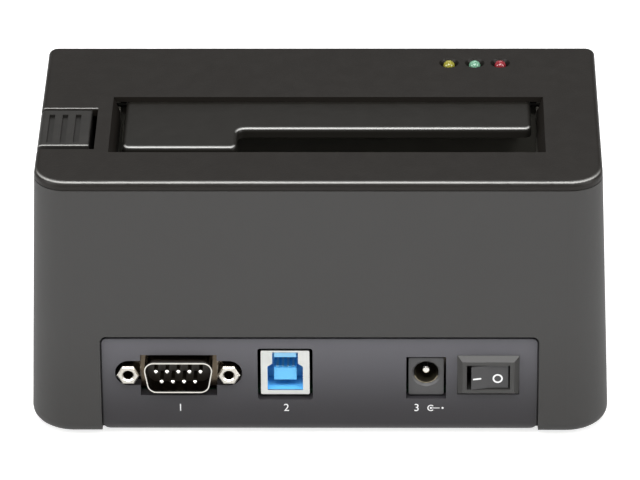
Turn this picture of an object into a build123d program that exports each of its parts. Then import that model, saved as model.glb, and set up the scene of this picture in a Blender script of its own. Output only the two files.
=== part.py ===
import os
from math import atan2, cos, radians, sin, tan

from build123d import *

# Hard drive docking station, in millimetres.
# +X is to the right seen from behind, -Y is the side with the ports, +Y is the user's front, +Z is up.
# The origin is at the middle of the footprint, on the table.

# Case
overall_height = 71.0
foot_drop = 1.0
top_width = 139.2
base_width = 144.3
top_depth = 73.2
base_depth = 78.3
rear_radius_base = 10.8
rear_radius_top = 8.3
front_radius_base = 4.2
front_radius_top = 2.4
least_radius = 0.4
base_round = 3.0
wall = 2.4
running_gap = 0.3
seam = 0.25
cut_overrun = 5.0

# Tray and feet
tray_plate = 2.2
tray_inset = 6.4
tray_gap = 0.15
ledge_inset = 9.0
ledge_plate = 1.6
tray_boss_radius = 4.2
foot_radius = 5.0
foot_height = 1.7
foot_edge = 0.3
foot_gap = 0.1
foot_x = 50.0
foot_y = 23.5
vent_length = 16.0
vent_width = 2.0
vent_pitch = 5.0
vent_count = 5
vent_x = -14.0
vent_y = 6.0

# Cover
rim_height = 2.4
cover_plate = 2.2
cover_edge_round = 1.4
rim_thickness = 2.2
locating_lip = 1.2
locating_lip_drop = 1.8
post_radius = 3.0
post_x = 58.4
post_y = 25.8
post_pilot_depth = 12.0
post_foot_height = 8.0

# Drive slot in the cover, with sloped side walls
slot_left = -51.85
slot_right = 55.9
slot_near = -20.8
slot_far = 8.65
slot_slope_run = 1.6
slot_slope_drop = 4.0
slot_skirt_wall = 1.4
slot_skirt_drop = 8.0
lip_rib_length = 0.95
lip_rib_drop = 1.4
lip_plate = 1.1
slot_edge_round = 0.3

# Drive well
well_floor_top = 28.0
well_floor = 2.2
well_wall = 2.0
pocket_back = 12.0
pocket_floor = 41.5
ear_top_gap = 0.5
well_ear_width = 9.0
well_ear_length = 8.0
well_ear_plate = 2.4
well_ear_x = 40.0
well_ear_front_x = 20.0
boss_radius = 2.6
boss_root = 0.5
light_boss_radius = 2.3
ear_overlap = 0.25
boss_pilot_depth = 6.0
guide_rib_width = 1.6
guide_rib_height = 0.5
guide_rib_x = 18.0

# Slot flap
flap_thickness = 2.6
flap_axis_y = 10.2
flap_end_gap = 1.6
flap_near = -15.5
flap_strip_near = -5.5
flap_block_right = -20.4
flap_corner = 1.8
flap_inner_corner = 2.0
flap_edge_round = 1.1
flap_pin_radius = 0.75
pin_gap = 0.05
flap_stop_gap = 0.05
flap_spring_x = 30.0
flap_spring_wire = 0.35
flap_spring_radius = 1.1
flap_spring_pitch = 0.85
flap_spring_turns = 5
flap_spring_leg = 1.2
flap_spring_start_back = 1.6
flap_spring_slot = 6.4

# Eject button, its spring and lever
button_near = -16.7
button_far = 2.1
button_right = -56.8
button_drop = 0.2
button_depth = 8.3
button_top_plate = 2.4
button_wall = 1.8
button_round = 0.5
button_travel = 4.5
notch_near = -19.2
notch_far = 2.5
notch_right = -55.4
notch_spare = 1.0
notch_edge_round = 0.5
groove_first_x = -66.7
groove_pitch = 3.28
groove_width = 1.4
groove_depth = 0.8
groove_count = 3
groove_near = -15.2
groove_far = -0.5
skirt_inset = 2.5
skirt_plate = 0.9
skirt_root = 1.8
skirt_side_reach = 0.6
skirt_drop = 21.0
rod_x = -62.0
rod_radius = 2.5
spring_seat_radius = 4.6
spring_seat_drop = 11.0
shelf_drop = 29.0
shelf_plate = 2.0
shelf_length = 14.6
shelf_width = 11.0
shelf_gusset = 6.0
spring_wire = 0.8
spring_mean_radius = 3.6
spring_turns = 6.5
spring_end_gap = 0.3
lever_axis_x = -46.0
lever_axis_z = 19.5
lever_width = 5.0
lever_height = 4.0
lever_reach_left = 18.0
lever_pad_left = 22.5
lever_pad_right = 30.0
lever_hub_radius = 3.2
lever_pin_radius = 1.25
lever_side_gap = 0.4
lever_ear_plate = 2.0
lever_ear_half = 3.6
lever_ear_drop = 3.0
lever_slot_gap = 0.7
lever_slot_left = -33.0
lever_slot_right = -14.6
pad_sink = 0.4

# Main board
board_top = 11.3
board_plate = 1.6
board_half_width = 53.5
board_near = -34.2
board_far = 30.0
board_corner = 1.5
board_screw_x = 49.5
board_screw_near = -17.0
board_screw_far = 25.0
board_boss_radius = 3.2
screw_hole_radius = 1.6
solder_tail = 1.4
hole_gap = 0.06
sloped_hole_gap = 0.12

# Rear panel
panel_left = -53.85
panel_right = 54.05
panel_bottom = 1.5
panel_top = 27.45
panel_recess = 0.9
panel_plate = 3.0
panel_corner = 1.2
panel_low_corner = 2.4
panel_side_gap = 0.4
panel_top_gap = 1.0
panel_flange_reach = 1.6
panel_flange_bottom = 5.2
opening_spare = 0.85

# Serial port
serial_x = -34.9
serial_z = 17.85
serial_screw_spacing = 24.99
serial_flange_width = 30.8
serial_flange_height = 12.5
serial_flange_plate = 0.8
serial_flange_round = 1.6
serial_flange_front = -34.0
serial_rim_front = -40.1
serial_wide = 17.8
serial_high = 8.6
serial_slant = 10.0
serial_corner = 2.4
serial_metal = 0.35
serial_pin_pitch = 2.77
serial_upper_pins = 5
serial_lower_pins = 4
serial_pin_bend = 1.0
serial_row_pitch = 2.84
serial_pin_radius = 0.5
serial_pin_front = -39.8
serial_body_width = 19.2
serial_body_height = 10.6
serial_body_back = -25.6
serial_seat_depth = 1.0
serial_tail_y = -24.3
serial_tip_chamfer = 0.25
serial_nut_across = 4.9
serial_nut_front = -39.1
serial_nut_hole_radius = 1.2
serial_nut_hole_depth = 4.6
serial_nut_shank_radius = 1.35
serial_nut_shank = 6.0
serial_nut_chamfer = 0.35
serial_nut_sink = 0.35
serial_cut_half_width = 9.5
serial_cut_top = 22.9
serial_cut_bottom = 11.6
serial_lobe_half_width = 15.8
serial_lobe_half_height = 3.4
bracket_width = 4.6
bracket_depth = 9.4

# USB type B port
usb_x = -8.45
usb_width = 12.1
usb_height = 12.5
usb_front = -36.8
usb_length = 18.0
usb_metal = 0.4
usb_cut_width = 13.7
usb_cut_gap = 0.95
usb_cut_corner = 0.8
usb_low_half = 4.4
usb_low_bottom = 1.2
usb_shoulder = 7.9
usb_high_half = 3.2
usb_high_bottom = 8.8
usb_high_top = 12.0
usb_cavity_depth = 7.0
usb_tongue_half = 2.8
usb_tongue_bottom = 3.3
usb_tongue_top = 6.6
usb_tongue_back = 1.6
usb_upper_tongue_height = 1.25
usb_contact_width = 0.6
usb_contact_plate = 0.3
usb_contact_pitch = 1.3
usb_contact_count = 4
usb_contact_length = 4.6

# Power inlet
jack_x = 26.55
jack_width = 8.7
jack_height = 10.5
jack_front = -36.85
jack_length = 14.2
jack_hole_radius = 3.15
jack_hole_depth = 9.5
jack_hole_z = 17.35
jack_pin_radius = 1.0
jack_pin_back = 1.6
jack_corner = 0.5
jack_cut_gap = 0.6
jack_tail_width = 2.4
jack_side_tail_back = 9.4
jack_tail_plate = 0.8

# Power switch
switch_x = 41.95
switch_z = 17.45
bezel_width = 15.4
bezel_height = 11.0
bezel_top_width = 12.8
bezel_top_height = 8.8
bezel_stand = 1.5
rocker_open_width = 10.7
rocker_open_height = 6.9
switch_body_width = 13.0
switch_body_height = 8.6
switch_body_depth = 13.0
switch_cavity_depth = 8.0
rocker_height = 6.4
rocker_half_top = 4.6
rocker_half_low = 3.5
rocker_valley = 3.0
rocker_keel = 1.4
rocker_hub_radius = 1.7
rocker_pin_radius = 0.7
rocker_pin_reach = 0.6
rocker_pivot_back = 3.5
rocker_tilt = 6.0
terminal_width = 3.0
terminal_plate = 0.8
terminal_reach = 3.4
terminal_pitch = 5.0

# Drive connector and its board
sata_x = 32.8
sata_y = -14.8
sata_board_top = 21.2
sata_board_left = 8.5
sata_board_right = 55.5
sata_board_near = -20.4
sata_board_far = 1.5
sata_length = 37.6
sata_width = 5.6
sata_rise = 4.9
sata_foot_length = 40.6
sata_foot_width = 6.6
sata_foot_height = 5.2
sata_guide_length = 1.5
sata_guide_rise = 1.8
sata_slot_depth = 6.2
sata_slot_width = 1.4
sata_signal_length = 10.4
sata_power_length = 20.7
sata_slot_web = 2.6
sata_key_width = 1.2
sata_key_reach = 1.2
sata_contact_pitch = 1.27
sata_contact_width = 0.5
sata_contact_plate = 0.3
sata_contact_sink = 0.6
sata_signal_contacts = 7
sata_power_contacts = 15
sata_floor_gap = 0.5
sata_screw_left = 14.0
sata_screw_right = 50.0
sata_screw_y = -2.6
sata_boss_radius = 2.4

# Pin links between the boards
link_x = 32.0
link_y = -7.5
link_columns = 10
link_pitch = 2.54
link_pin_side = 0.64
link_low_height = 5.8
link_high_height = 2.4
link_block_width = 5.0
front_link_count = 10
front_link_z_rise = 1.3
front_link_back = 1.3
pin_stand = 0.8
led_link_count = 4
led_link_x = 22.0
led_header_height = 2.6
ribbon_drop = 7.0
ribbon_plate = 0.7
ribbon_bend = 1.6

# Parts on the main board
chip_side = 14.0
chip_height = 1.4
chip_x = -6.0
chip_y = 6.0
sink_side = 16.0
sink_plate = 1.4
sink_height = 7.0
fin_plate = 1.0
fin_count = 6
small_chip_length = 8.0
small_chip_width = 5.0
small_chip_height = 1.6
capacitor_radius = 3.15
capacitor_height = 7.7
capacitor_base = 6.6
capacitor_base_height = 0.9
coil_side = 7.0
coil_height = 4.0
coil_corner = 1.2
small_chip_places = [(20.0, 12.0), (-28.0, 12.0)]
capacitor_places = [(47.5, 8.0), (47.5, 17.0), (-30.0, -14.0)]
coil_places = [(36.0, 10.0), (36.0, 20.0)]
part_edge = 0.3

# Front panel, keys and display
fascia_half_width = 48.0
fascia_height = 44.0
fascia_z = 37.0
fascia_plate = 1.2
fascia_corner = 3.0
fascia_gap = 0.15
window_half_width = 31.0
window_height = 20.0
window_lift = 8.0
window_corner = 1.2
window_plate = 1.1
window_step = 1.6
key_width = 14.0
key_height = 7.0
key_pitch = 19.0
key_drop = 13.0
key_corner = 1.0
key_stand = 0.8
key_gap = 0.3
key_flange_reach = 1.6
key_flange_plate = 0.8
key_rest_gap = 0.1
key_round = 0.3
key_count = 4
front_board_gap = 2.8
front_board_plate = 1.6
front_board_half = 45.5
front_board_rise = 23.0
front_board_fall = 29.8
front_screw_x = 42.5
front_screw_rise = 19.4
front_screw_fall = 19.4
tact_side = 6.0
tact_height = 1.0
tact_button_radius = 1.6
tact_button_height = 0.3
display_half_width = 35.0
display_height = 26.0
display_frame_plate = 2.3
display_glass_half = 32.0
display_glass_height = 21.0
display_glass_plate = 1.1
display_sink = 0.3

# Status lights and their board
led_first_x = 32.5
led_pitch = 6.5
led_count = 3
led_y = 27.4
led_radius = 1.5
led_flange_radius = 1.9
led_flange_height = 1.0
led_body_height = 5.3
led_lead_radius = 0.25
led_lead_half = 1.27
led_tip_rise = 0.6
led_hole_top_radius = 2.5
led_hole_radius = 1.8
led_sink_depth = 1.3
led_board_left = 11.0
led_board_right = 54.0
led_board_near = 22.6
led_board_far = 31.4
led_board_plate = 1.2
led_screw_left = 14.0
led_screw_right = 51.2

# Screws
screw_radius = 1.2
screw_head_radius = 2.4
screw_head_height = 1.4
screw_length = 5.6
short_screw_length = 4.0
screw_drive_radius = 0.9
screw_drive_depth = 0.8
screw_drive_width = 0.4
case_screw_radius = 1.45
case_screw_head_radius = 2.7
case_screw_head_height = 1.8
case_screw_length = 11.0
case_screw_sink = 2.6
case_hole_radius = 1.8

# Worked-out heights and planes
base_z = foot_drop
cover_z = overall_height - rim_height
plate_bottom = overall_height - cover_plate
tray_top = base_z + tray_plate
ledge_top = tray_top + ledge_plate
board_bottom = board_top - board_plate
sata_board_bottom = sata_board_top - board_plate
post_foot = post_foot_height
boss_pilot_radius = screw_radius + pin_gap
post_pilot_radius = case_screw_radius + pin_gap
well_floor_bottom = well_floor_top - well_floor
well_left = slot_left + slot_slope_run
well_right = slot_right - slot_slope_run
well_near = slot_near + slot_slope_run
well_far = slot_far
skirt_bottom = overall_height - slot_skirt_drop
skirt_low = overall_height - skirt_drop
spring_seat_z = overall_height - spring_seat_drop
shelf_top = overall_height - shelf_drop
flap_top = overall_height - lip_rib_drop - flap_stop_gap
flap_axis_z = flap_top - flap_thickness / 2
button_y = (button_near + button_far) / 2
slope = atan2((base_depth - top_depth) / 2, overall_height - base_z)


def rise_share(z):
    return (z - base_z) / (overall_height - base_z)


def half_width(z):
    return (base_width - (base_width - top_width) * rise_share(z)) / 2


def half_depth(z):
    return (base_depth - (base_depth - top_depth) * rise_share(z)) / 2


def rear_radius(z):
    return rear_radius_base - (rear_radius_base - rear_radius_top) * rise_share(z)


def front_radius(z):
    return front_radius_base - (front_radius_base - front_radius_top) * rise_share(z)


def case_outline(z, inset):
    # The case's outline at one height: round at the rear corners, tighter at the front ones.
    with BuildSketch(Plane.XY.offset(z)) as outline:
        Rectangle(2 * (half_width(z) - inset), 2 * (half_depth(z) - inset))
        rear = outline.vertices().group_by(Axis.Y)[0]
        fillet(rear, max(rear_radius(z) - inset, least_radius))
        front = outline.vertices().group_by(Axis.Y)[-1]
        fillet(front, max(front_radius(z) - inset, least_radius))
    return outline.sketch


def case_block(low, high, inset, mode=Mode.ADD):
    # The case's tapered body between two heights, drawn in from the outside by the inset.
    loft([case_outline(low, inset), case_outline(high, inset)], ruled=True, mode=mode)


def block(x, y, z, mode=Mode.ADD):
    # A box given by its low and high limit along each axis.
    middle = ((x[0] + x[1]) / 2, (y[0] + y[1]) / 2, (z[0] + z[1]) / 2)
    with Locations(middle):
        Box(x[1] - x[0], y[1] - y[0], z[1] - z[0], mode=mode)


def around(middle, width):
    # The low and high limit of a width centred on a place.
    return (middle - width / 2, middle + width / 2)


def row_of_places(middle, pitch, count):
    # Evenly spaced places on both sides of a middle.
    return [middle + pitch * (place - (count - 1) / 2) for place in range(count)]


def post(x, y, low, high, radius, mode=Mode.ADD):
    # An upright cylinder between two heights.
    with Locations((x, y, low)):
        Cylinder(radius, high - low, align=(Align.CENTER, Align.CENTER, Align.MIN), mode=mode)


def rod_along_y(x, z, near, far, radius, mode=Mode.ADD):
    # A round bar from the nearer to the farther place along Y.
    with Locations(Plane((x, near, z), x_dir=(1, 0, 0), z_dir=(0, 1, 0))):
        Cylinder(radius, far - near, align=(Align.CENTER, Align.CENTER, Align.MIN), mode=mode)


def rod_along_x(left, right, y, z, radius, mode=Mode.ADD):
    # A round bar from the left to the right place along X.
    with Locations(Plane((left, y, z), x_dir=(0, 1, 0), z_dir=(1, 0, 0))):
        Cylinder(radius, right - left, align=(Align.CENTER, Align.CENTER, Align.MIN), mode=mode)


def screw(seat, radius, length, head_radius, head_height):
    # A pan-head screw. The seat plane's normal points from the thread out through the head.
    with BuildSketch(seat) as head:
        Circle(head_radius)
    extrude(head.sketch, amount=head_height)
    with BuildSketch(seat) as thread:
        Circle(radius)
    extrude(thread.sketch, amount=-length)
    with BuildSketch(seat.offset(head_height)) as drive:
        Rectangle(2 * screw_drive_radius, screw_drive_width)
        Rectangle(screw_drive_width, 2 * screw_drive_radius)
    extrude(drive.sketch, amount=-screw_drive_depth, mode=Mode.SUBTRACT)


# Plane on the outside of the sloped front wall, its Y axis up the slope and its Z axis outward
front_plane = Plane(
    origin=(0, half_depth(fascia_z), fascia_z),
    x_dir=(-1, 0, 0),
    z_dir=(0, cos(slope), sin(slope)),
)
led_x = [led_first_x + led_pitch * place for place in range(led_count)]
key_x = row_of_places(0, key_pitch, key_count)
post_places = [(side * post_x, end * post_y) for side in (-1, 1) for end in (-1, 1)]
board_screw_places = [
    (side * board_screw_x, y) for side in (-1, 1) for y in (board_screw_near, board_screw_far)
]
well_ear_places = [
    (-well_ear_x, -1),
    (well_ear_x, -1),
    (-well_ear_x, 1),
    (well_ear_front_x, 1),
]
well_ear_top = skirt_bottom - running_gap
well_outer_near = well_near - well_wall
well_outer_far = pocket_back + well_wall
well_ear_near_y = well_outer_near - well_ear_length / 2
well_ear_far_y = well_outer_far + well_ear_length / 2
sata_screw_places = [(sata_screw_left, sata_screw_y), (sata_screw_right, sata_screw_y)]
led_screw_places = [(led_screw_left, led_y), (led_screw_right, led_y)]
front_screw_places = [
    (side * front_screw_x, rise) for side in (-1, 1) for rise in (-front_screw_fall, front_screw_rise)
]
led_board_top = overall_height + led_tip_rise - led_body_height
led_board_bottom = led_board_top - led_board_plate
front_board_depth = wall + front_board_gap
usb_bottom = board_top
jack_bottom = board_top
panel_face = -(half_depth(serial_z) - panel_recess)
bezel_front = panel_face - bezel_stand
rocker_pivot_y = bezel_front + rocker_pivot_back


# Main shell: a tapered housing with openings for the port panel, the front panel and the button
with BuildPart() as main_shell:
    case_block(base_z, cover_z, 0)
    fillet(main_shell.edges().group_by(Axis.Z)[0], base_round)
    case_block(ledge_top, cover_z + cut_overrun, wall, mode=Mode.SUBTRACT)
    case_block(base_z - cut_overrun, cover_z, ledge_inset, mode=Mode.SUBTRACT)
    case_block(base_z - cut_overrun, tray_top, tray_inset, mode=Mode.SUBTRACT)
    # Rear opening for the port panel, open at the bottom
    opening_top = panel_top + panel_top_gap
    opening_start = half_depth(opening_top) - wall - opening_spare
    with BuildSketch(Plane.XZ.offset(opening_start)) as rear_opening:
        opening_middle = (base_z - cut_overrun + opening_top) / 2
        with Locations(((panel_left + panel_right) / 2, opening_middle)):
            Rectangle(
                panel_right - panel_left + 2 * panel_side_gap,
                opening_top - base_z + cut_overrun,
            )
        fillet(rear_opening.vertices().group_by(Axis.Y)[-1], panel_corner + panel_side_gap)
    extrude(amount=half_depth(base_z) - opening_start + cut_overrun, mode=Mode.SUBTRACT)
    # Notch in the left wall for the button's travel
    block(
        (-half_width(base_z) - cut_overrun, -half_width(base_z) + ledge_inset),
        (notch_near, notch_far),
        (overall_height - button_drop - button_depth - button_travel - notch_spare, cover_z + cut_overrun),
        mode=Mode.SUBTRACT,
    )
    # Seat for the front panel, with openings for the display and the keys
    with BuildSketch(front_plane.offset(cut_overrun)) as fascia_seat:
        RectangleRounded(
            2 * (fascia_half_width + fascia_gap), fascia_height + 2 * fascia_gap, fascia_corner
        )
    extrude(amount=-cut_overrun - fascia_plate, mode=Mode.SUBTRACT)
    with BuildSketch(front_plane) as front_openings:
        with Locations((0, window_lift)):
            Rectangle(2 * (window_half_width + window_step), window_height + 2 * window_step)
        with Locations(*[(x, -key_drop) for x in key_x]):
            Rectangle(key_width + 2 * key_gap, key_height + 2 * key_gap)
    extrude(amount=-wall - cut_overrun / 2, mode=Mode.SUBTRACT)
    # Bosses that carry the front board
    with BuildSketch(front_plane.offset(boss_root - wall)) as front_bosses:
        with Locations(*front_screw_places):
            Circle(boss_radius)
            Circle(boss_pilot_radius, mode=Mode.SUBTRACT)
    extrude(amount=-front_board_gap - boss_root)
main_shell.part.label = "main_shell"

# Top cover: the black plate with its rim, the sloped drive slot and the posts that clamp the case
with BuildPart() as top_cover:
    case_block(cover_z + seam, overall_height, 0)
    fillet(top_cover.faces().sort_by(Axis.Z)[-1].edges(), cover_edge_round)
    case_block(cover_z, cover_z + seam, seam)
    case_block(cover_z - cut_overrun, plate_bottom, rim_thickness, mode=Mode.SUBTRACT)
    # Lip inside the shell that keeps the cover in place
    case_block(cover_z - locating_lip_drop, plate_bottom, wall + running_gap)
    case_block(
        cover_z - locating_lip_drop - cut_overrun,
        plate_bottom,
        wall + running_gap + locating_lip,
        mode=Mode.SUBTRACT,
    )
    # Skirt around the three closed sides of the slot
    block(
        (well_left - slot_skirt_wall, well_right + slot_skirt_wall),
        (well_near - slot_skirt_wall, slot_far),
        (skirt_bottom, overall_height - slot_edge_round),
    )
    # Straight lower part of the slot, then the sloped mouth
    block(
        (well_left, well_right),
        (well_near, slot_far),
        (skirt_bottom - cut_overrun, overall_height + cut_overrun),
        mode=Mode.SUBTRACT,
    )
    with BuildSketch(Plane.XY.offset(overall_height)) as slot_mouth:
        with Locations(((slot_left + slot_right) / 2, (slot_near + slot_far) / 2)):
            Rectangle(slot_right - slot_left, slot_far - slot_near)
    with BuildSketch(Plane.XY.offset(overall_height - slot_slope_drop)) as slot_throat:
        with Locations(((well_left + well_right) / 2, (well_near + slot_far) / 2)):
            Rectangle(well_right - well_left, slot_far - well_near)
    loft([slot_mouth.sketch, slot_throat.sketch], ruled=True, mode=Mode.SUBTRACT)
    # Room under the far lip for the flap's hinge, behind a rib that stops the flap
    block(
        (well_left - well_wall - running_gap, well_right + well_wall + running_gap),
        (slot_far + lip_rib_length, pocket_back + well_wall + running_gap),
        (plate_bottom - cut_overrun, overall_height - lip_plate),
        mode=Mode.SUBTRACT,
    )
    block(
        (well_left - well_wall - running_gap, well_right + well_wall + running_gap),
        (slot_far - slot_edge_round, slot_far + lip_rib_length),
        (plate_bottom - cut_overrun, overall_height - lip_rib_drop),
        mode=Mode.SUBTRACT,
    )
    # Notch for the eject button at the left edge
    block(
        (-half_width(base_z) - cut_overrun, notch_right),
        (notch_near, notch_far),
        (skirt_bottom, overall_height + cut_overrun),
        mode=Mode.SUBTRACT,
    )
    notch_corner = (notch_right, notch_far, overall_height)
    notch_edges = top_cover.edges().filter_by(Axis.X).sort_by_distance(notch_corner)
    fillet(notch_edges[0], notch_edge_round)
    # Holes for the status lights, countersunk from above
    with Locations(*[(x, led_y, overall_height) for x in led_x]):
        Cone(
            led_hole_radius,
            led_hole_top_radius,
            led_sink_depth,
            align=(Align.CENTER, Align.CENTER, Align.MAX),
            mode=Mode.SUBTRACT,
        )
    for x in led_x:
        post(x, led_y, plate_bottom - cut_overrun, overall_height, led_hole_radius, Mode.SUBTRACT)
    # Posts down to the tray, and bosses for the well and the light board
    for x, y in post_places:
        post(x, y, post_foot, plate_bottom, post_radius)
        post(x, y, post_foot, post_foot + post_pilot_depth, post_pilot_radius, Mode.SUBTRACT)
    for x, side in well_ear_places:
        y = well_ear_near_y if side < 0 else well_ear_far_y
        post(x, y, well_ear_top, plate_bottom, boss_radius)
        post(x, y, well_ear_top, well_ear_top + boss_pilot_depth, boss_pilot_radius, Mode.SUBTRACT)
    for x, y in led_screw_places:
        post(x, y, led_board_top, plate_bottom, light_boss_radius)
        pilot_end = led_board_bottom + short_screw_length + running_gap
        post(x, y, led_board_top, pilot_end, boss_pilot_radius, Mode.SUBTRACT)
top_cover.part.label = "top_cover"

# Drive well: the guide the drives slide down, with the flap's pocket, hinge ears and lever ears
with BuildPart() as drive_well:
    block(
        (well_left - well_wall, well_right + well_wall),
        (well_outer_near, well_outer_far),
        (well_floor_bottom, well_ear_top),
    )
    # Raised back part: the pocket's wall and the two hinge ears reach up to the cover's lip
    block(
        (well_left - well_wall, well_right + well_wall),
        (slot_far, well_outer_far),
        (well_floor_bottom, overall_height - lip_plate - ear_top_gap),
    )
    block(
        (well_left, well_right),
        (well_near, well_far),
        (well_floor_top, overall_height + cut_overrun),
        mode=Mode.SUBTRACT,
    )
    block(
        (well_left, well_right),
        (well_far - cut_overrun, pocket_back),
        (pocket_floor, overall_height + cut_overrun),
        mode=Mode.SUBTRACT,
    )
    # Step that lets the cover's skirt stand inside the upper end of the ears
    block(
        (well_left - well_wall - running_gap, well_right + well_wall + running_gap),
        (slot_far - cut_overrun, slot_far + lip_rib_length),
        (well_ear_top, overall_height + cut_overrun),
        mode=Mode.SUBTRACT,
    )
    rod_along_x(
        well_left - well_wall - cut_overrun,
        well_right + well_wall + cut_overrun,
        flap_axis_y,
        flap_axis_z,
        flap_pin_radius + pin_gap,
        Mode.SUBTRACT,
    )
    # Shallow guide ribs on the far wall below the pocket
    for x in (-guide_rib_x, guide_rib_x):
        block(
            around(x, guide_rib_width),
            (well_far - guide_rib_height, well_far + guide_rib_height),
            (well_floor_top, pocket_floor),
        )
    # Openings in the floor for the drive connector and the eject lever
    block(
        around(sata_x, sata_foot_length + 2 * sata_floor_gap),
        (sata_y - sata_foot_width / 2 - sata_floor_gap, sata_y + sata_foot_width / 2 + sata_floor_gap),
        (well_floor_bottom - cut_overrun, well_floor_top + cut_overrun),
        mode=Mode.SUBTRACT,
    )
    block(
        (lever_slot_left, lever_slot_right),
        around(button_y, lever_width + 2 * lever_slot_gap),
        (well_floor_bottom - cut_overrun, well_floor_top + cut_overrun),
        mode=Mode.SUBTRACT,
    )
    # Ears for the screws up into the cover
    for x, side in well_ear_places:
        y = well_ear_near_y if side < 0 else well_ear_far_y
        block(
            around(x, well_ear_width),
            around(y, well_ear_length + 2 * ear_overlap),
            (well_ear_top - well_ear_plate, well_ear_top),
        )
        post(x, y, well_ear_top - well_ear_plate, well_ear_top, screw_radius + running_gap, Mode.SUBTRACT)
    # Shelf for the button's spring, braced from below
    block(
        (well_left - well_wall - shelf_length, well_left - well_wall),
        around(button_y, shelf_width),
        (shelf_top - shelf_plate, shelf_top),
    )
    for side in (-1, 1):
        with BuildSketch(
            Plane.XZ.offset(-(button_y + side * (shelf_width / 2 - shelf_plate / 2)) - shelf_plate / 2)
        ) as gusset:
            with BuildLine():
                Polyline(
                    (well_left - well_wall, shelf_top - shelf_plate),
                    (well_left - well_wall - shelf_gusset, shelf_top - shelf_plate),
                    (well_left - well_wall, shelf_top - shelf_plate - shelf_gusset),
                    close=True,
                )
            make_face()
        extrude(amount=shelf_plate)
    post(
        rod_x,
        button_y,
        shelf_top - cut_overrun,
        shelf_top + cut_overrun,
        rod_radius + running_gap,
        Mode.SUBTRACT,
    )
    # Ears that hold the lever's pin
    for side in (-1, 1):
        inner = button_y + side * (lever_width / 2 + lever_side_gap)
        outer = inner + side * lever_ear_plate
        block(
            (lever_axis_x - lever_ear_half, lever_axis_x + lever_ear_half),
            (min(inner, outer), max(inner, outer)),
            (lever_axis_z - lever_ear_drop, well_floor_bottom),
        )
    rod_along_y(
        lever_axis_x,
        lever_axis_z,
        button_y - lever_width - cut_overrun,
        button_y + lever_width + cut_overrun,
        lever_pin_radius + pin_gap,
        Mode.SUBTRACT,
    )
    # Bosses under the floor for the connector board
    for x, y in sata_screw_places:
        post(x, y, sata_board_top, well_floor_bottom, sata_boss_radius)
        post(x, y, sata_board_top, well_floor_bottom, boss_pilot_radius, Mode.SUBTRACT)
drive_well.part.label = "drive_well"

# Slot flap: the L-shaped door that fills the slot around the smaller drive's opening
flap_left = well_left + flap_end_gap
flap_right = well_right - flap_end_gap
with BuildPart() as slot_flap:
    with BuildSketch(Plane.XY.offset(flap_top)) as flap_plan:
        with BuildLine():
            Polyline(
                (flap_left, flap_axis_y),
                (flap_right, flap_axis_y),
                (flap_right, flap_strip_near),
                (flap_block_right, flap_strip_near),
                (flap_block_right, flap_near),
                (flap_left, flap_near),
                close=True,
            )
        make_face()
        near_corners = flap_plan.vertices().group_by(Axis.Y)[0]
        fillet(near_corners, flap_corner)
        strip_corner = flap_plan.vertices().filter_by_position(Axis.Y, flap_strip_near, flap_strip_near)
        fillet(strip_corner.sort_by(Axis.X)[-1], flap_corner)
        inner_corner = flap_plan.vertices().filter_by_position(Axis.Y, flap_strip_near, flap_strip_near)
        fillet(inner_corner.sort_by(Axis.X)[0], flap_inner_corner)
    extrude(amount=-flap_thickness)
    top_edges = slot_flap.faces().sort_by(Axis.Z)[-1].edges()
    fillet(top_edges.sort_by(Axis.Y)[:-1], flap_edge_round)
    rod_along_x(flap_left, flap_right, flap_axis_y, flap_axis_z, flap_thickness / 2)
    rod_along_x(
        flap_left - cut_overrun,
        flap_right + cut_overrun,
        flap_axis_y,
        flap_axis_z,
        flap_pin_radius + pin_gap,
        Mode.SUBTRACT,
    )
    for side in (-1, 1):
        block(
            around(side * flap_spring_x, flap_spring_slot),
            (flap_axis_y - flap_spring_start_back, flap_axis_y + cut_overrun),
            around(flap_axis_z, 2 * flap_thickness),
            mode=Mode.SUBTRACT,
        )
slot_flap.part.label = "slot_flap"

with BuildPart() as flap_pin:
    rod_along_x(
        well_left - well_wall + running_gap,
        well_right + well_wall - running_gap,
        flap_axis_y,
        flap_axis_z,
        flap_pin_radius,
    )
flap_pin.part.label = "flap_pin"

# Two small torsion springs on the flap's pin, each one unbroken wire with its fixed leg under the cover's lip
with BuildPart() as flap_springs:
    coil_length = flap_spring_pitch * flap_spring_turns
    for side in (-1, 1):
        coil_start = (side * flap_spring_x - coil_length / 2, flap_axis_y, flap_axis_z)
        with BuildLine() as coil:
            turns = Helix(
                flap_spring_pitch, coil_length, flap_spring_radius, center=coil_start, direction=(1, 0, 0)
            )
            Line((turns @ 0) - (turns % 0) * flap_spring_leg, turns @ 0)
        wire_path = coil.wires()[0]
        leg_start = wire_path @ 0
        with BuildSketch(Plane(origin=leg_start, z_dir=wire_path % 0)) as wire_round:
            Circle(flap_spring_wire / 2)
        sweep(wire_round.sketch, path=wire_path)
flap_springs.part.label = "flap_springs"
print("flap spring, least gap between turns:", round(flap_spring_pitch - flap_spring_wire, 2))

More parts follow.
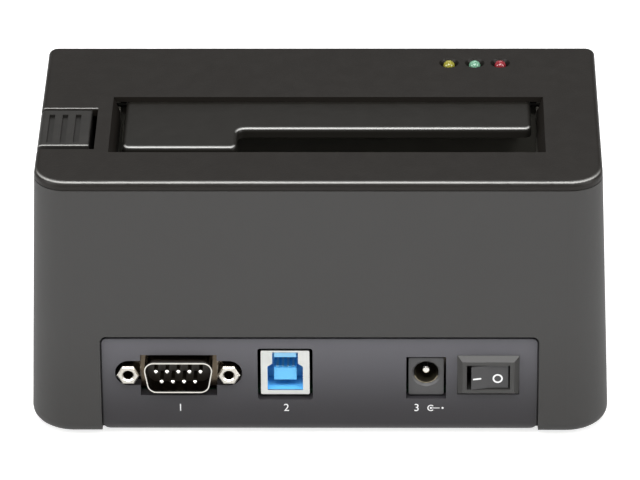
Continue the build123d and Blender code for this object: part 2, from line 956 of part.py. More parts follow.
# Eject button: a cap that carries on the cover's rounded edge, a skirt behind the wall and a push rod
button_top = overall_height - button_drop
button_bottom = button_top - button_depth
rod_bottom = lever_axis_z + lever_height / 2 + running_gap
with BuildPart() as eject_button:
    case_block(button_bottom, button_top, 0)
    block(
        (-half_width(base_z) - cut_overrun, button_right),
        (button_near, button_far),
        (button_bottom, button_top),
        mode=Mode.INTERSECT,
    )
    outer_top = eject_button.faces().sort_by(Axis.Z)[-1].edges().sort_by(Axis.X)[0]
    fillet(outer_top, cover_edge_round)
    other_top = eject_button.faces().sort_by(Axis.Z)[-1].edges().sort_by(Axis.X)[1:]
    fillet(other_top, button_round)
    # Three grooves for the finger
    for place in range(groove_count):
        block(
            around(groove_first_x + place * groove_pitch, groove_width),
            (groove_near, groove_far),
            (button_top - groove_depth, button_top + cut_overrun),
            mode=Mode.SUBTRACT,
        )
    block(
        (-half_width(button_bottom) + skirt_inset + skirt_plate, button_right - button_wall),
        (button_near + button_wall, button_far - button_wall),
        (button_bottom - cut_overrun, button_top - button_top_plate),
        mode=Mode.SUBTRACT,
    )
    post(rod_x, button_y, spring_seat_z, button_top - button_top_plate, spring_seat_radius)
    post(rod_x, button_y, rod_bottom + rod_radius, spring_seat_z, rod_radius)
    with Locations((rod_x, button_y, rod_bottom + rod_radius)):
        Sphere(rod_radius)
    # Skirt that slides down behind the wall and closes the notch
    narrowest = min(half_width(button_bottom), half_width(skirt_low - button_travel))
    skirt_x = -narrowest + skirt_inset
    block(
        (skirt_x, skirt_x + skirt_plate),
        (notch_near - skirt_side_reach, notch_far + skirt_side_reach),
        (skirt_low, button_bottom),
    )
    block(
        (skirt_x, skirt_x + skirt_root),
        (button_near, button_far),
        (button_bottom - skirt_plate, button_bottom + skirt_plate),
    )
eject_button.part.label = "eject_button"

with BuildPart() as eject_spring:
    spring_low = shelf_top + spring_end_gap + spring_wire / 2
    spring_high = spring_seat_z - spring_end_gap - spring_wire / 2
    spring_pitch = (spring_high - spring_low) / spring_turns
    with BuildLine(Plane((rod_x, button_y, spring_low))) as spring_line:
        Helix(spring_pitch, spring_high - spring_low, spring_mean_radius)
    with BuildSketch(Plane(origin=spring_line.line @ 0, z_dir=spring_line.line % 0)) as spring_section:
        Circle(spring_wire / 2)
    sweep(spring_section.sketch, path=spring_line.wires()[0])
eject_spring.part.label = "eject_spring"
print("eject spring, least gap between turns:", round(spring_pitch - spring_wire, 2))

# Eject lever: pressed down at its left end, its pad lifts the drive through the well's floor
with BuildPart() as eject_lever:
    with BuildSketch(Plane.XZ.offset(-(button_y + lever_width / 2))) as lever_side:
        with BuildLine():
            Polyline(
                (lever_axis_x - lever_reach_left, lever_axis_z + lever_height / 2),
                (lever_axis_x + lever_pad_left, lever_axis_z + lever_height / 2),
                (lever_axis_x + lever_pad_left, well_floor_top - pad_sink),
                (lever_axis_x + lever_pad_right, well_floor_top - pad_sink),
                (lever_axis_x + lever_pad_right, lever_axis_z),
                (lever_axis_x + lever_pad_left, lever_axis_z - lever_height / 2),
                (lever_axis_x - lever_hub_radius, lever_axis_z - lever_height / 2),
                (lever_axis_x - lever_reach_left, lever_axis_z),
                close=True,
            )
        make_face()
        pad_corners = lever_side.vertices().group_by(Axis.Y)[-1]
        fillet(pad_corners, button_round)
        with Locations((lever_axis_x, lever_axis_z)):
            Circle(lever_hub_radius)
            Circle(lever_pin_radius + pin_gap, mode=Mode.SUBTRACT)
    extrude(amount=lever_width)
eject_lever.part.label = "eject_lever"

with BuildPart() as lever_pin:
    lever_pin_half = lever_width / 2 + lever_side_gap + lever_ear_plate
    rod_along_y(
        lever_axis_x, lever_axis_z, button_y - lever_pin_half, button_y + lever_pin_half, lever_pin_radius
    )
lever_pin.part.label = "lever_pin"

# Base tray: closes the case from below and carries the board
with BuildPart() as base_tray:
    case_block(base_z, tray_top, tray_inset + tray_gap)
    for x, y in board_screw_places:
        post(x, y, tray_top, board_bottom, board_boss_radius)
        post(x, y, tray_top, board_bottom, boss_pilot_radius, Mode.SUBTRACT)
    for x, y in post_places:
        post(x, y, tray_top, post_foot, tray_boss_radius)
        post(x, y, base_z, post_foot, case_hole_radius, Mode.SUBTRACT)
        post(
            x, y, base_z - cut_overrun, base_z + case_screw_sink, case_screw_head_radius + running_gap, Mode.SUBTRACT
        )
    for side in (-1, 1):
        for end in (-1, 1):
            post(
                side * foot_x,
                end * foot_y,
                base_z - cut_overrun,
                base_z + foot_height - foot_drop,
                foot_radius + foot_gap,
                Mode.SUBTRACT,
            )
    # Ventilation slots under the control chip
    with BuildSketch(Plane.XY.offset(base_z - cut_overrun)) as vents:
        with Locations((vent_x, vent_y)):
            with GridLocations(vent_pitch, 0, vent_count, 1):
                SlotOverall(vent_length, vent_width, rotation=90)
    extrude(amount=2 * cut_overrun, mode=Mode.SUBTRACT)
base_tray.part.label = "base_tray"

with BuildPart() as rubber_feet:
    for side in (-1, 1):
        for end in (-1, 1):
            post(side * foot_x, end * foot_y, 0, foot_height, foot_radius)
    fillet(rubber_feet.edges().group_by(Axis.Z)[0], foot_edge)
rubber_feet.part.label = "rubber_feet"


def usb_outline():
    # The socket's stepped opening, seen from behind.
    with BuildSketch() as outline:
        with BuildLine():
            Polyline(
                (-usb_low_half, usb_low_bottom),
                (usb_low_half, usb_low_bottom),
                (usb_low_half, usb_shoulder),
                (usb_high_half, usb_high_bottom),
                (usb_high_half, usb_high_top),
                (-usb_high_half, usb_high_top),
                (-usb_high_half, usb_high_bottom),
                (-usb_low_half, usb_shoulder),
                close=True,
            )
        make_face()
    return outline.sketch


def d_outline(narrowing):
    # The serial port's D shape, wider at its top, drawn in all round by the narrowing.
    half = serial_wide / 2 - narrowing
    rise = serial_high / 2 - narrowing
    low_half = half - 2 * rise * tan(radians(serial_slant))
    with BuildSketch() as outline:
        with BuildLine():
            Polyline((-half, rise), (half, rise), (low_half, -rise), (-low_half, -rise), close=True)
        make_face()
        fillet(outline.vertices(), serial_corner - narrowing)
    return outline.sketch


def rear_plane(x, y, z):
    # A plane square to the rear ports, its X axis to the right and its Z axis towards the viewer.
    return Plane(origin=(x, y, z), x_dir=(1, 0, 0), z_dir=(0, -1, 0))


def draw_out(shape, x, y, z, amount, mode=Mode.ADD):
    # Extrudes a flat shape from a place on the rear side, towards the viewer for a positive amount.
    extrude(rear_plane(x, y, z) * shape, amount=amount, dir=(0, -1, 0), mode=mode)


def rear_box(x, width, z, height, front, back, mode=Mode.ADD):
    # A box centred on X and Z between two places along Y.
    block(around(x, width), (front, back), around(z, height), mode=mode)


# Rear panel: a separate insert with the port openings, its lower edge rounded like the shell's
panel_middle = (panel_left + panel_right) / 2
usb_middle_z = usb_bottom + usb_height / 2
jack_middle_z = jack_bottom + jack_height / 2
with BuildPart() as panel_flange:
    case_block(panel_flange_bottom, panel_top + panel_flange_reach, wall + running_gap)
    case_block(
        panel_flange_bottom - cut_overrun,
        panel_top + cut_overrun,
        panel_recess + panel_plate,
        mode=Mode.SUBTRACT,
    )
    block(
        (panel_left - panel_flange_reach, panel_right + panel_flange_reach),
        (-half_depth(base_z), -half_depth(base_z) + ledge_inset),
        (panel_flange_bottom, panel_top + panel_flange_reach),
        mode=Mode.INTERSECT,
    )

with BuildPart() as rear_panel:
    case_block(base_z, panel_top + cut_overrun, panel_recess)
    fillet(rear_panel.edges().group_by(Axis.Z)[0], base_round)
    with BuildSketch(rear_plane(panel_middle, -half_depth(base_z) + ledge_inset, 0)) as panel_outline:
        with Locations((0, (panel_top + panel_bottom) / 2)):
            Rectangle(panel_right - panel_left, panel_top - panel_bottom)
        fillet(panel_outline.vertices().group_by(Axis.Y)[-1], panel_corner)
        fillet(panel_outline.vertices().group_by(Axis.Y)[0], panel_low_corner)
    extrude(amount=ledge_inset + cut_overrun, mode=Mode.INTERSECT)
    case_block(
        base_z - cut_overrun, panel_top + cut_overrun, panel_recess + panel_plate, mode=Mode.SUBTRACT
    )
    # Flange behind the shell's wall
    add(panel_flange.part)
    # Serial port opening: a middle window with a rounded lobe round each jackscrew
    with BuildSketch(rear_plane(serial_x, -half_depth(base_z) + ledge_inset, serial_z)) as serial_opening:
        SlotOverall(2 * serial_lobe_half_width, 2 * serial_lobe_half_height)
        with Locations((0, (serial_cut_top + serial_cut_bottom) / 2 - serial_z)):
            Rectangle(2 * serial_cut_half_width, serial_cut_top - serial_cut_bottom)
    extrude(amount=ledge_inset + cut_overrun, mode=Mode.SUBTRACT)
    with BuildSketch(rear_plane(usb_x, -half_depth(base_z) + ledge_inset, usb_middle_z)) as usb_opening:
        RectangleRounded(usb_cut_width, usb_height + 2 * usb_cut_gap, usb_cut_corner)
    extrude(amount=ledge_inset + cut_overrun, mode=Mode.SUBTRACT)
    with BuildSketch(rear_plane(jack_x, -half_depth(base_z) + ledge_inset, jack_middle_z)) as jack_opening:
        Rectangle(jack_width + 2 * jack_cut_gap, jack_height + 2 * jack_cut_gap)
    extrude(amount=ledge_inset + cut_overrun, mode=Mode.SUBTRACT)
    with BuildSketch(rear_plane(switch_x, -half_depth(base_z) + ledge_inset, switch_z)) as switch_opening:
        Rectangle(switch_body_width + running_gap, switch_body_height + running_gap)
    extrude(amount=ledge_inset + cut_overrun, mode=Mode.SUBTRACT)
    # Flat seat for the switch's bezel in the sloped face
    rear_box(
        switch_x,
        bezel_width + 2 * hole_gap,
        switch_z,
        bezel_height + 2 * hole_gap,
        panel_face - cut_overrun,
        panel_face,
        Mode.SUBTRACT,
    )
rear_panel.part.label = "rear_panel"

# Serial port: bright metal shell and flange
nut_x = [serial_x + side * serial_screw_spacing / 2 for side in (-1, 1)]
upper_pin_x = row_of_places(serial_x, serial_pin_pitch, serial_upper_pins)
lower_pin_x = row_of_places(serial_x, serial_pin_pitch, serial_lower_pins)
serial_flange_back = serial_flange_front + serial_flange_plate
with BuildPart() as serial_shell:
    with BuildSketch(rear_plane(serial_x, serial_flange_back, serial_z)) as flange_outline:
        RectangleRounded(serial_flange_width, serial_flange_height, serial_flange_round)
    extrude(amount=serial_flange_plate)
    draw_out(d_outline(0), serial_x, serial_flange_back, serial_z, serial_flange_back - serial_rim_front)
    for x in nut_x:
        block(
            around(x, bracket_width),
            (serial_flange_back, serial_flange_back + serial_flange_plate),
            (board_top, serial_z + serial_flange_height / 2),
        )
        block(
            around(x, bracket_width),
            (serial_flange_back, serial_flange_back + bracket_depth),
            (board_top, board_top + serial_flange_plate),
        )
        rod_along_y(
            x,
            serial_z,
            serial_flange_front - cut_overrun,
            serial_flange_back + cut_overrun,
            serial_nut_shank_radius + pin_gap,
            Mode.SUBTRACT,
        )
    draw_out(
        d_outline(serial_metal),
        serial_x,
        serial_flange_back,
        serial_z,
        serial_flange_back - serial_rim_front + cut_overrun,
        Mode.SUBTRACT,
    )
serial_shell.part.label = "serial_shell"

with BuildPart() as serial_body:
    block(
        around(serial_x, serial_body_width),
        (serial_flange_back, serial_body_back),
        (board_top, serial_z + serial_body_height / 2),
    )
    draw_out(
        d_outline(serial_metal + pin_gap),
        serial_x,
        serial_flange_back,
        serial_z,
        serial_flange_plate + serial_seat_depth,
    )
    for x in upper_pin_x:
        rod_along_y(
            x,
            serial_z + serial_row_pitch / 2,
            serial_rim_front,
            serial_body_back + cut_overrun,
            serial_pin_radius + pin_gap,
            Mode.SUBTRACT,
        )
    for x in lower_pin_x:
        rod_along_y(
            x,
            serial_z - serial_row_pitch / 2,
            serial_rim_front,
            serial_body_back + cut_overrun,
            serial_pin_radius + pin_gap,
            Mode.SUBTRACT,
        )
serial_body.part.label = "serial_body"

upper_tail_y = serial_tail_y + serial_row_pitch
with BuildPart() as serial_pins:
    for row_x, row_z, tail_y in (
        (upper_pin_x, serial_z + serial_row_pitch / 2, upper_tail_y),
        (lower_pin_x, serial_z - serial_row_pitch / 2, serial_tail_y),
    ):
        for x in row_x:
            with BuildLine():
                straight = Line((x, serial_pin_front, row_z), (x, tail_y - serial_pin_bend, row_z))
                bend = TangentArc(straight @ 1, (x, tail_y, row_z - serial_pin_bend), tangent=straight % 1)
                Line(bend @ 1, (x, tail_y, board_bottom - solder_tail))
            with BuildSketch(Plane(origin=straight @ 0, z_dir=straight % 0)):
                Circle(serial_pin_radius)
            sweep()
    chamfer(serial_pins.edges().group_by(Axis.Y)[0], serial_tip_chamfer)
serial_pins.part.label = "serial_pins"

with BuildPart() as serial_nuts:
    for x in nut_x:
        with BuildSketch(rear_plane(x, serial_flange_front, serial_z)) as nut_outline:
            RegularPolygon(serial_nut_across / 2, 6, major_radius=False)
        extrude(amount=serial_flange_front - serial_nut_front)
    chamfer(serial_nuts.faces().group_by(Axis.Y)[0].edges(), serial_nut_chamfer)
    for x in nut_x:
        shank_end = serial_flange_front + serial_nut_shank
        rod_along_y(x, serial_z, serial_flange_front, shank_end, serial_nut_shank_radius)
        rod_along_y(
            x,
            serial_z,
            serial_nut_front - cut_overrun,
            serial_nut_front + serial_nut_hole_depth,
            serial_nut_hole_radius,
            Mode.SUBTRACT,
        )
    chamfer(serial_nuts.edges().filter_by(GeomType.CIRCLE).group_by(Axis.Y)[0], serial_nut_sink)
serial_nuts.part.label = "serial_nuts"

# USB type B port: folded metal shell, blue insulator with its tongue, and contacts
usb_back = usb_front + usb_length
with BuildPart() as usb_shell:
    block(around(usb_x, usb_width), (usb_front, usb_back), (usb_bottom, usb_bottom + usb_height))
    fillet(usb_shell.edges().filter_by(Axis.Y), usb_metal)
    block(
        around(usb_x, usb_width - 2 * usb_metal),
        (usb_front + usb_metal, usb_back - usb_metal),
        (usb_bottom + usb_metal, usb_bottom + usb_height - usb_metal),
        mode=Mode.SUBTRACT,
    )
    draw_out(
        usb_outline(), usb_x, usb_back - 2 * usb_metal, usb_bottom, usb_length + cut_overrun, Mode.SUBTRACT
    )
usb_shell.part.label = "usb_shell"

usb_tongue_front = usb_front + usb_tongue_back
with BuildPart() as usb_insulator:
    block(
        around(usb_x, usb_width - 2 * usb_metal),
        (usb_front + usb_metal, usb_back - usb_metal),
        (usb_bottom + usb_metal, usb_bottom + usb_height - usb_metal),
    )
    draw_out(usb_outline(), usb_x, usb_front + usb_cavity_depth, usb_bottom, usb_cavity_depth, Mode.SUBTRACT)
    block(
        around(usb_x, 2 * usb_tongue_half),
        (usb_tongue_front, usb_front + usb_cavity_depth),
        (usb_bottom + usb_tongue_bottom, usb_bottom + usb_tongue_top),
    )
    block(
        around(usb_x, 2 * usb_high_half),
        (usb_tongue_front, usb_front + usb_cavity_depth),
        (usb_bottom + usb_high_top - usb_upper_tongue_height, usb_bottom + usb_high_top),
    )
usb_insulator.part.label = "usb_insulator"

with BuildPart() as usb_contacts:
    contact_back = usb_front + usb_cavity_depth
    for x in row_of_places(usb_x, usb_contact_pitch, usb_contact_count):
        top = usb_bottom + usb_tongue_top
        low = usb_bottom + usb_tongue_bottom
        block(
            around(x, usb_contact_width),
            (contact_back - usb_contact_length, contact_back),
            (top, top + usb_contact_plate),
        )
        block(
            around(x, usb_contact_width),
            (contact_back - usb_contact_length, contact_back),
            (low - usb_contact_plate, low),
        )
usb_contacts.part.label = "usb_contacts"

# Power inlet: moulded body with its round hole, and the centre pin
jack_back = jack_front + jack_length
with BuildPart() as jack_body:
    block(around(jack_x, jack_width), (jack_front, jack_back), (jack_bottom, jack_bottom + jack_height))
    fillet(jack_body.edges().filter_by(Axis.Y), jack_corner)
    rod_along_y(
        jack_x, jack_hole_z, jack_front - cut_overrun, jack_front + jack_hole_depth, jack_hole_radius, Mode.SUBTRACT
    )
    front_edges = jack_body.faces().sort_by(Axis.Y)[0].edges()
    hole_edge = front_edges.filter_by(GeomType.CIRCLE).sort_by(SortBy.RADIUS)[-1]
    chamfer(hole_edge, jack_corner)
jack_body.part.label = "jack_body"

# Power switch: bezel and body, with a rocker that pivots between its two sides
switch_back = panel_face + switch_body_depth
with BuildPart() as switch_body:
    with BuildSketch(rear_plane(switch_x, panel_face, switch_z)) as bezel_low:
        Rectangle(bezel_width, bezel_height)
    with BuildSketch(rear_plane(switch_x, bezel_front, switch_z)) as bezel_high:
        Rectangle(bezel_top_width, bezel_top_height)
    loft([bezel_low.sketch, bezel_high.sketch], ruled=True)
    rear_box(switch_x, switch_body_width, switch_z, switch_body_height, panel_face, switch_back)
    rear_box(
        switch_x,
        rocker_open_width,
        switch_z,
        rocker_open_height,
        bezel_front - cut_overrun,
        bezel_front + switch_cavity_depth,
        Mode.SUBTRACT,
    )
    post(
        switch_x,
        rocker_pivot_y,
        switch_z - rocker_height / 2 - rocker_pin_reach - running_gap,
        switch_z + rocker_height / 2 + rocker_pin_reach + running_gap,
        rocker_pin_radius + pin_gap,
        Mode.SUBTRACT,
    )
switch_body.part.label = "switch_body"

with BuildPart() as switch_rocker:
    tilt = tan(radians(rocker_tilt))
    rocker_frame = Plane(
        origin=(switch_x, rocker_pivot_y, switch_z - rocker_height / 2),
        x_dir=(cos(radians(rocker_tilt)), sin(radians(rocker_tilt)), 0),
        z_dir=(0, 0, 1),
    )
    with BuildSketch(rocker_frame) as rocker_plan:
        with BuildLine():
            Polyline(
                (0, -rocker_valley),
                (rocker_half_top, -rocker_valley - rocker_half_top * tilt),
                (rocker_half_low, 0),
                (rocker_hub_radius, rocker_keel),
                (-rocker_hub_radius, rocker_keel),
                (-rocker_half_low, 0),
                (-rocker_half_top, -rocker_valley - rocker_half_top * tilt),
                close=True,
            )
        make_face()
    extrude(amount=rocker_height)
    post(
        switch_x,
        rocker_pivot_y,
        switch_z - rocker_height / 2 - rocker_pin_reach,
        switch_z + rocker_height / 2 + rocker_pin_reach,
        rocker_pin_radius,
    )
switch_rocker.part.label = "switch_rocker"

terminal_x = [switch_x + side * terminal_pitch / 2 for side in (-1, 1)]
terminal_back = switch_back + terminal_reach
with BuildPart() as switch_terminals:
    for x in terminal_x:
        block(
            around(x, terminal_width),
            (switch_back, terminal_back),
            around(switch_z, terminal_plate),
        )
        block(
            around(x, terminal_width),
            (terminal_back - terminal_plate, terminal_back),
            (board_bottom - solder_tail, switch_z + terminal_plate / 2),
        )
switch_terminals.part.label = "switch_terminals"

# Power inlet's metal: the centre pin in its hole and two solder tails
with BuildPart() as jack_contacts:
    rod_along_y(
        jack_x, jack_hole_z, jack_front + jack_pin_back, jack_front + jack_hole_depth, jack_pin_radius
    )
    fillet(jack_contacts.edges().group_by(Axis.Y)[0], jack_corner)
    block(
        around(jack_x, jack_tail_width),
        (jack_back, jack_back + jack_tail_plate),
        (board_bottom - solder_tail, jack_hole_z),
    )
    block(
        (jack_x + jack_width / 2, jack_x + jack_width / 2 + jack_tail_plate),
        around(jack_front + jack_side_tail_back, jack_tail_width),
        (board_bottom - solder_tail, jack_hole_z),
    )
jack_contacts.part.label = "jack_contacts"

# Main board, with a hole for every screw, pin and tail that passes it
link_places = [
    (link_x + link_pitch * (column - (link_columns - 1) / 2), link_y + side * link_pitch / 2)
    for column in range(link_columns)
    for side in (-1, 1)
]
front_link_y = board_far - front_link_back
front_link_x = row_of_places(0, link_pitch, front_link_count)
with BuildPart() as main_board:
    block((-board_half_width, board_half_width), (board_near, board_far), (board_bottom, board_top))
    fillet(main_board.edges().filter_by(Axis.Z), board_corner)
    for x, y in board_screw_places:
        post(x, y, board_bottom, board_top, screw_hole_radius, Mode.SUBTRACT)
    for x in upper_pin_x:
        post(x, upper_tail_y, board_bottom, board_top, serial_pin_radius + hole_gap, Mode.SUBTRACT)
    for x in lower_pin_x:
        post(x, serial_tail_y, board_bottom, board_top, serial_pin_radius + hole_gap, Mode.SUBTRACT)
    for x, y in link_places + [(x, front_link_y) for x in front_link_x]:
        block(
            around(x, link_pin_side + 2 * hole_gap),
            around(y, link_pin_side + 2 * hole_gap),
            (board_bottom, board_top),
            mode=Mode.SUBTRACT,
        )
    for x in terminal_x:
        block(
            around(x, terminal_width + 2 * hole_gap),
            around(terminal_back - terminal_plate / 2, terminal_plate + 2 * hole_gap),
            (board_bottom, board_top),
            mode=Mode.SUBTRACT,
        )
    block(
        around(jack_x, jack_tail_width + 2 * hole_gap),
        around(jack_back + jack_tail_plate / 2, jack_tail_plate + 2 * hole_gap),
        (board_bottom, board_top),
        mode=Mode.SUBTRACT,
    )
    block(
        around(jack_x + jack_width / 2 + jack_tail_plate / 2, jack_tail_plate + 2 * hole_gap),
        around(jack_front + jack_side_tail_back, jack_tail_width + 2 * hole_gap),
        (board_bottom, board_top),
        mode=Mode.SUBTRACT,
    )
main_board.part.label = "main_board"

with BuildPart() as heat_sink:
    block(
        around(chip_x, sink_side),
        around(chip_y, sink_side),
        (board_top + chip_height, board_top + chip_height + sink_plate),
    )
    fin_pitch = (sink_side - fin_plate) / (fin_count - 1)
    for place in range(fin_count):
        block(
            around(chip_x - (sink_side - fin_plate) / 2 + place * fin_pitch, fin_plate),
            around(chip_y, sink_side),
            (board_top + chip_height + sink_plate, board_top + chip_height + sink_height),
        )
heat_sink.part.label = "heat_sink"

with BuildPart() as board_chips:
    block(around(chip_x, chip_side), around(chip_y, chip_side), (board_top, board_top + chip_height))
    for x, y in small_chip_places:
        block(
            around(x, small_chip_length),
            around(y, small_chip_width),
            (board_top, board_top + small_chip_height),
        )
board_chips.part.label = "board_chips"

with BuildPart() as board_capacitors:
    for x, y in capacitor_places:
        block(
            around(x, capacitor_base),
            around(y, capacitor_base),
            (board_top, board_top + capacitor_base_height),
        )
        post(x, y, board_top, board_top + capacitor_height, capacitor_radius)
    fillet(board_capacitors.edges().group_by(Axis.Z)[-1], part_edge)
board_capacitors.part.label = "board_capacitors"

with BuildPart() as board_coils:
    for x, y in coil_places:
        block(around(x, coil_side), around(y, coil_side), (board_top, board_top + coil_height))
    fillet(board_coils.edges().filter_by(Axis.Z), coil_corner)
    fillet(board_coils.edges().group_by(Axis.Z)[-1], part_edge)
board_coils.part.label = "board_coils"

# Board under the well that carries the drive connector
with BuildPart() as sata_board:
    block(
        (sata_board_left, sata_board_right),
        (sata_board_near, sata_board_far),
        (sata_board_bottom, sata_board_top),
    )
    fillet(sata_board.edges().filter_by(Axis.Z), board_corner)
    for x, y in sata_screw_places:
        post(x, y, sata_board_bottom, sata_board_top, screw_hole_radius, Mode.SUBTRACT)
    for x, y in link_places:
        block(
            around(x, link_pin_side + 2 * hole_gap),
            around(y, link_pin_side + 2 * hole_gap),
            (sata_board_bottom, sata_board_top),
            mode=Mode.SUBTRACT,
        )
sata_board.part.label = "sata_board"

# Drive connector: a foot on its board, and a block with the two keyed slots that rises through the floor
sata_top = well_floor_top + sata_rise
slots_length = sata_signal_length + sata_slot_web + sata_power_length
signal_left = sata_x - slots_length / 2
power_left = signal_left + sata_signal_length + sata_slot_web
with BuildPart() as sata_receptacle:
    block(
        around(sata_x, sata_foot_length),
        around(sata_y, sata_foot_width),
        (sata_board_top, sata_board_top + sata_foot_height),
    )
    block(around(sata_x, sata_length), around(sata_y, sata_width), (sata_board_top, sata_top))
    for side in (-1, 1):
        block(
            around(sata_x + side * (sata_foot_length - sata_guide_length) / 2, sata_guide_length),
            around(sata_y, sata_width),
            (sata_board_top, sata_top + sata_guide_rise),
        )
    for left, length in ((signal_left, sata_signal_length), (power_left, sata_power_length)):
        block(
            (left, left + length),
            around(sata_y, sata_slot_width),
            (sata_top - sata_slot_depth, sata_top + cut_overrun),
            mode=Mode.SUBTRACT,
        )
    # The keys of the two slots turn towards each other's end
    for left in (signal_left, power_left + sata_power_length - sata_key_width):
        block(
            (left, left + sata_key_width),
            (sata_y - sata_slot_width / 2 - sata_key_reach, sata_y),
            (sata_top - sata_slot_depth, sata_top + cut_overrun),
            mode=Mode.SUBTRACT,
        )
sata_receptacle.part.label = "sata_receptacle"

with BuildPart() as sata_contacts:
    for left, length, count in (
        (signal_left, sata_signal_length, sata_signal_contacts),
        (power_left, sata_power_length, sata_power_contacts),
    ):
        for place in range(count):
            x = left + length / 2 + sata_contact_pitch * (place - (count - 1) / 2)
            block(
                around(x, sata_contact_width),
                (sata_y + sata_slot_width / 2 - sata_contact_plate, sata_y + sata_slot_width / 2),
                (sata_top - sata_slot_depth, sata_top - sata_contact_sink),
            )
sata_contacts.part.label = "sata_contacts"

# Pin links: two rows between the boards, with a block on each board
link_length = link_columns * link_pitch
with BuildPart() as link_blocks:
    for low, high in (
        (board_top, board_top + link_low_height),
        (sata_board_bottom - link_high_height, sata_board_bottom),
    ):
        block(around(link_x, link_length), around(link_y, link_block_width), (low, high))
    for x, y in link_places:
        block(
            around(x, link_pin_side + 2 * hole_gap),
            around(y, link_pin_side + 2 * hole_gap),
            (board_top, sata_board_bottom),
            mode=Mode.SUBTRACT,
        )
link_blocks.part.label = "link_blocks"

with BuildPart() as link_pins:
    for x, y in link_places:
        block(
            around(x, link_pin_side),
            around(y, link_pin_side),
            (board_bottom - solder_tail, sata_board_top + solder_tail),
        )
link_pins.part.label = "link_pins"

# Right-angle header at the main board's far edge, whose pins reach through the front board
front_link_z = board_top + front_link_z_rise
front_board_face_y = half_depth(front_link_z) - front_board_depth
with BuildPart() as front_header:
    block(
        around(0, front_link_count * link_pitch),
        (board_far - link_pitch, board_far),
        (board_top, board_top + link_pitch),
    )
    for x in front_link_x:
        block(
            around(x, link_pin_side + 2 * hole_gap),
            (front_link_y - link_pin_side / 2 - hole_gap, board_far),
            around(front_link_z, link_pin_side + 2 * hole_gap),
            mode=Mode.SUBTRACT,
        )
        block(
            around(x, link_pin_side + 2 * hole_gap),
            around(front_link_y, link_pin_side + 2 * hole_gap),
            (board_top, front_link_z),
            mode=Mode.SUBTRACT,
        )
front_header.part.label = "front_header"

with BuildPart() as front_pins:
    for x in front_link_x:
        block(
            around(x, link_pin_side),
            (front_link_y - link_pin_side / 2, front_board_face_y + pin_stand),
            around(front_link_z, link_pin_side),
        )
        block(
            around(x, link_pin_side),
            around(front_link_y, link_pin_side),
            (board_bottom - solder_tail, front_link_z),
        )
front_pins.part.label = "front_pins"


def front_sheet(width, height, middle, outer_depth, thickness, corner, mode=Mode.ADD):
    # A rounded sheet parallel to the front wall, its outer face at a depth below the case's surface.
    with BuildSketch(front_plane.offset(-outer_depth)) as sheet:
        with Locations((0, middle)):
            RectangleRounded(width, height, corner)
    extrude(sheet.sketch, amount=-thickness, mode=mode)


# Front board, behind the display and the keys
with BuildPart() as front_board:
    front_sheet(
        2 * front_board_half,
        front_board_rise + front_board_fall,
        (front_board_rise - front_board_fall) / 2,
        front_board_depth,
        front_board_plate,
        board_corner,
    )
    with BuildSketch(front_plane.offset(-front_board_depth)) as front_board_holes:
        with Locations(*front_screw_places):
            Circle(screw_hole_radius)
    extrude(amount=-front_board_plate, mode=Mode.SUBTRACT)
    for x in front_link_x:
        block(
            around(x, link_pin_side + 2 * hole_gap),
            (board_far, front_board_face_y + pin_stand),
            around(front_link_z, link_pin_side + 2 * sloped_hole_gap),
            mode=Mode.SUBTRACT,
        )
front_board.part.label = "front_board"

with BuildPart() as front_fascia:
    front_sheet(2 * fascia_half_width, fascia_height, 0, 0, fascia_plate, fascia_corner)
    front_sheet(
        2 * window_half_width, window_height, window_lift, 0, fascia_plate, window_corner, Mode.SUBTRACT
    )
    with BuildSketch(front_plane) as key_openings:
        with Locations(*[(x, -key_drop) for x in key_x]):
            RectangleRounded(key_width + 2 * key_gap, key_height + 2 * key_gap, key_corner + key_gap)
    extrude(amount=-fascia_plate, mode=Mode.SUBTRACT)
front_fascia.part.label = "front_fascia"

with BuildPart() as display_window:
    front_sheet(
        2 * (window_half_width - hole_gap),
        window_height - 2 * hole_gap,
        window_lift,
        0,
        fascia_plate,
        window_corner - hole_gap,
    )
    front_sheet(
        2 * (window_half_width + window_step - running_gap),
        window_height + 2 * (window_step - running_gap),
        window_lift,
        fascia_plate,
        window_plate,
        window_corner,
    )
display_window.part.label = "display_window"

display_depth = front_board_depth - display_frame_plate
with BuildPart() as display_frame:
    front_sheet(
        2 * display_half_width, display_height, window_lift, display_depth, display_frame_plate, window_corner
    )
    front_sheet(
        2 * (display_glass_half + hole_gap),
        display_glass_height + 2 * hole_gap,
        window_lift,
        display_depth,
        display_sink + display_glass_plate,
        window_corner,
        Mode.SUBTRACT,
    )
display_frame.part.label = "display_frame"

with BuildPart() as display_glass:
    front_sheet(
        2 * display_glass_half,
        display_glass_height,
        window_lift,
        display_depth + display_sink,
        display_glass_plate,
        window_corner - hole_gap,
    )
display_glass.part.label = "display_glass"

# Four keys, each a cap with a flange that holds it behind the wall, over its own switch
outward = Axis((0, 0, 0), tuple(front_plane.z_dir))
keys = []
for place, x in enumerate(key_x):
    with BuildPart() as key:
        with BuildSketch(front_plane.offset(key_stand)) as key_face:
            with Locations((x, -key_drop)):
                RectangleRounded(key_width, key_height, key_corner)
        extrude(amount=-key_stand - wall - key_rest_gap)
        fillet(key.faces().sort_by(outward)[-1].edges(), key_round)
        with BuildSketch(front_plane.offset(-wall - key_rest_gap)) as key_flange:
            with Locations((x, -key_drop)):
                Rectangle(key_width + 2 * key_flange_reach, key_height + 2 * key_flange_reach)
        extrude(amount=-key_flange_plate)
    key.part.label = "key_" + str(place + 1)
    keys.append(key)

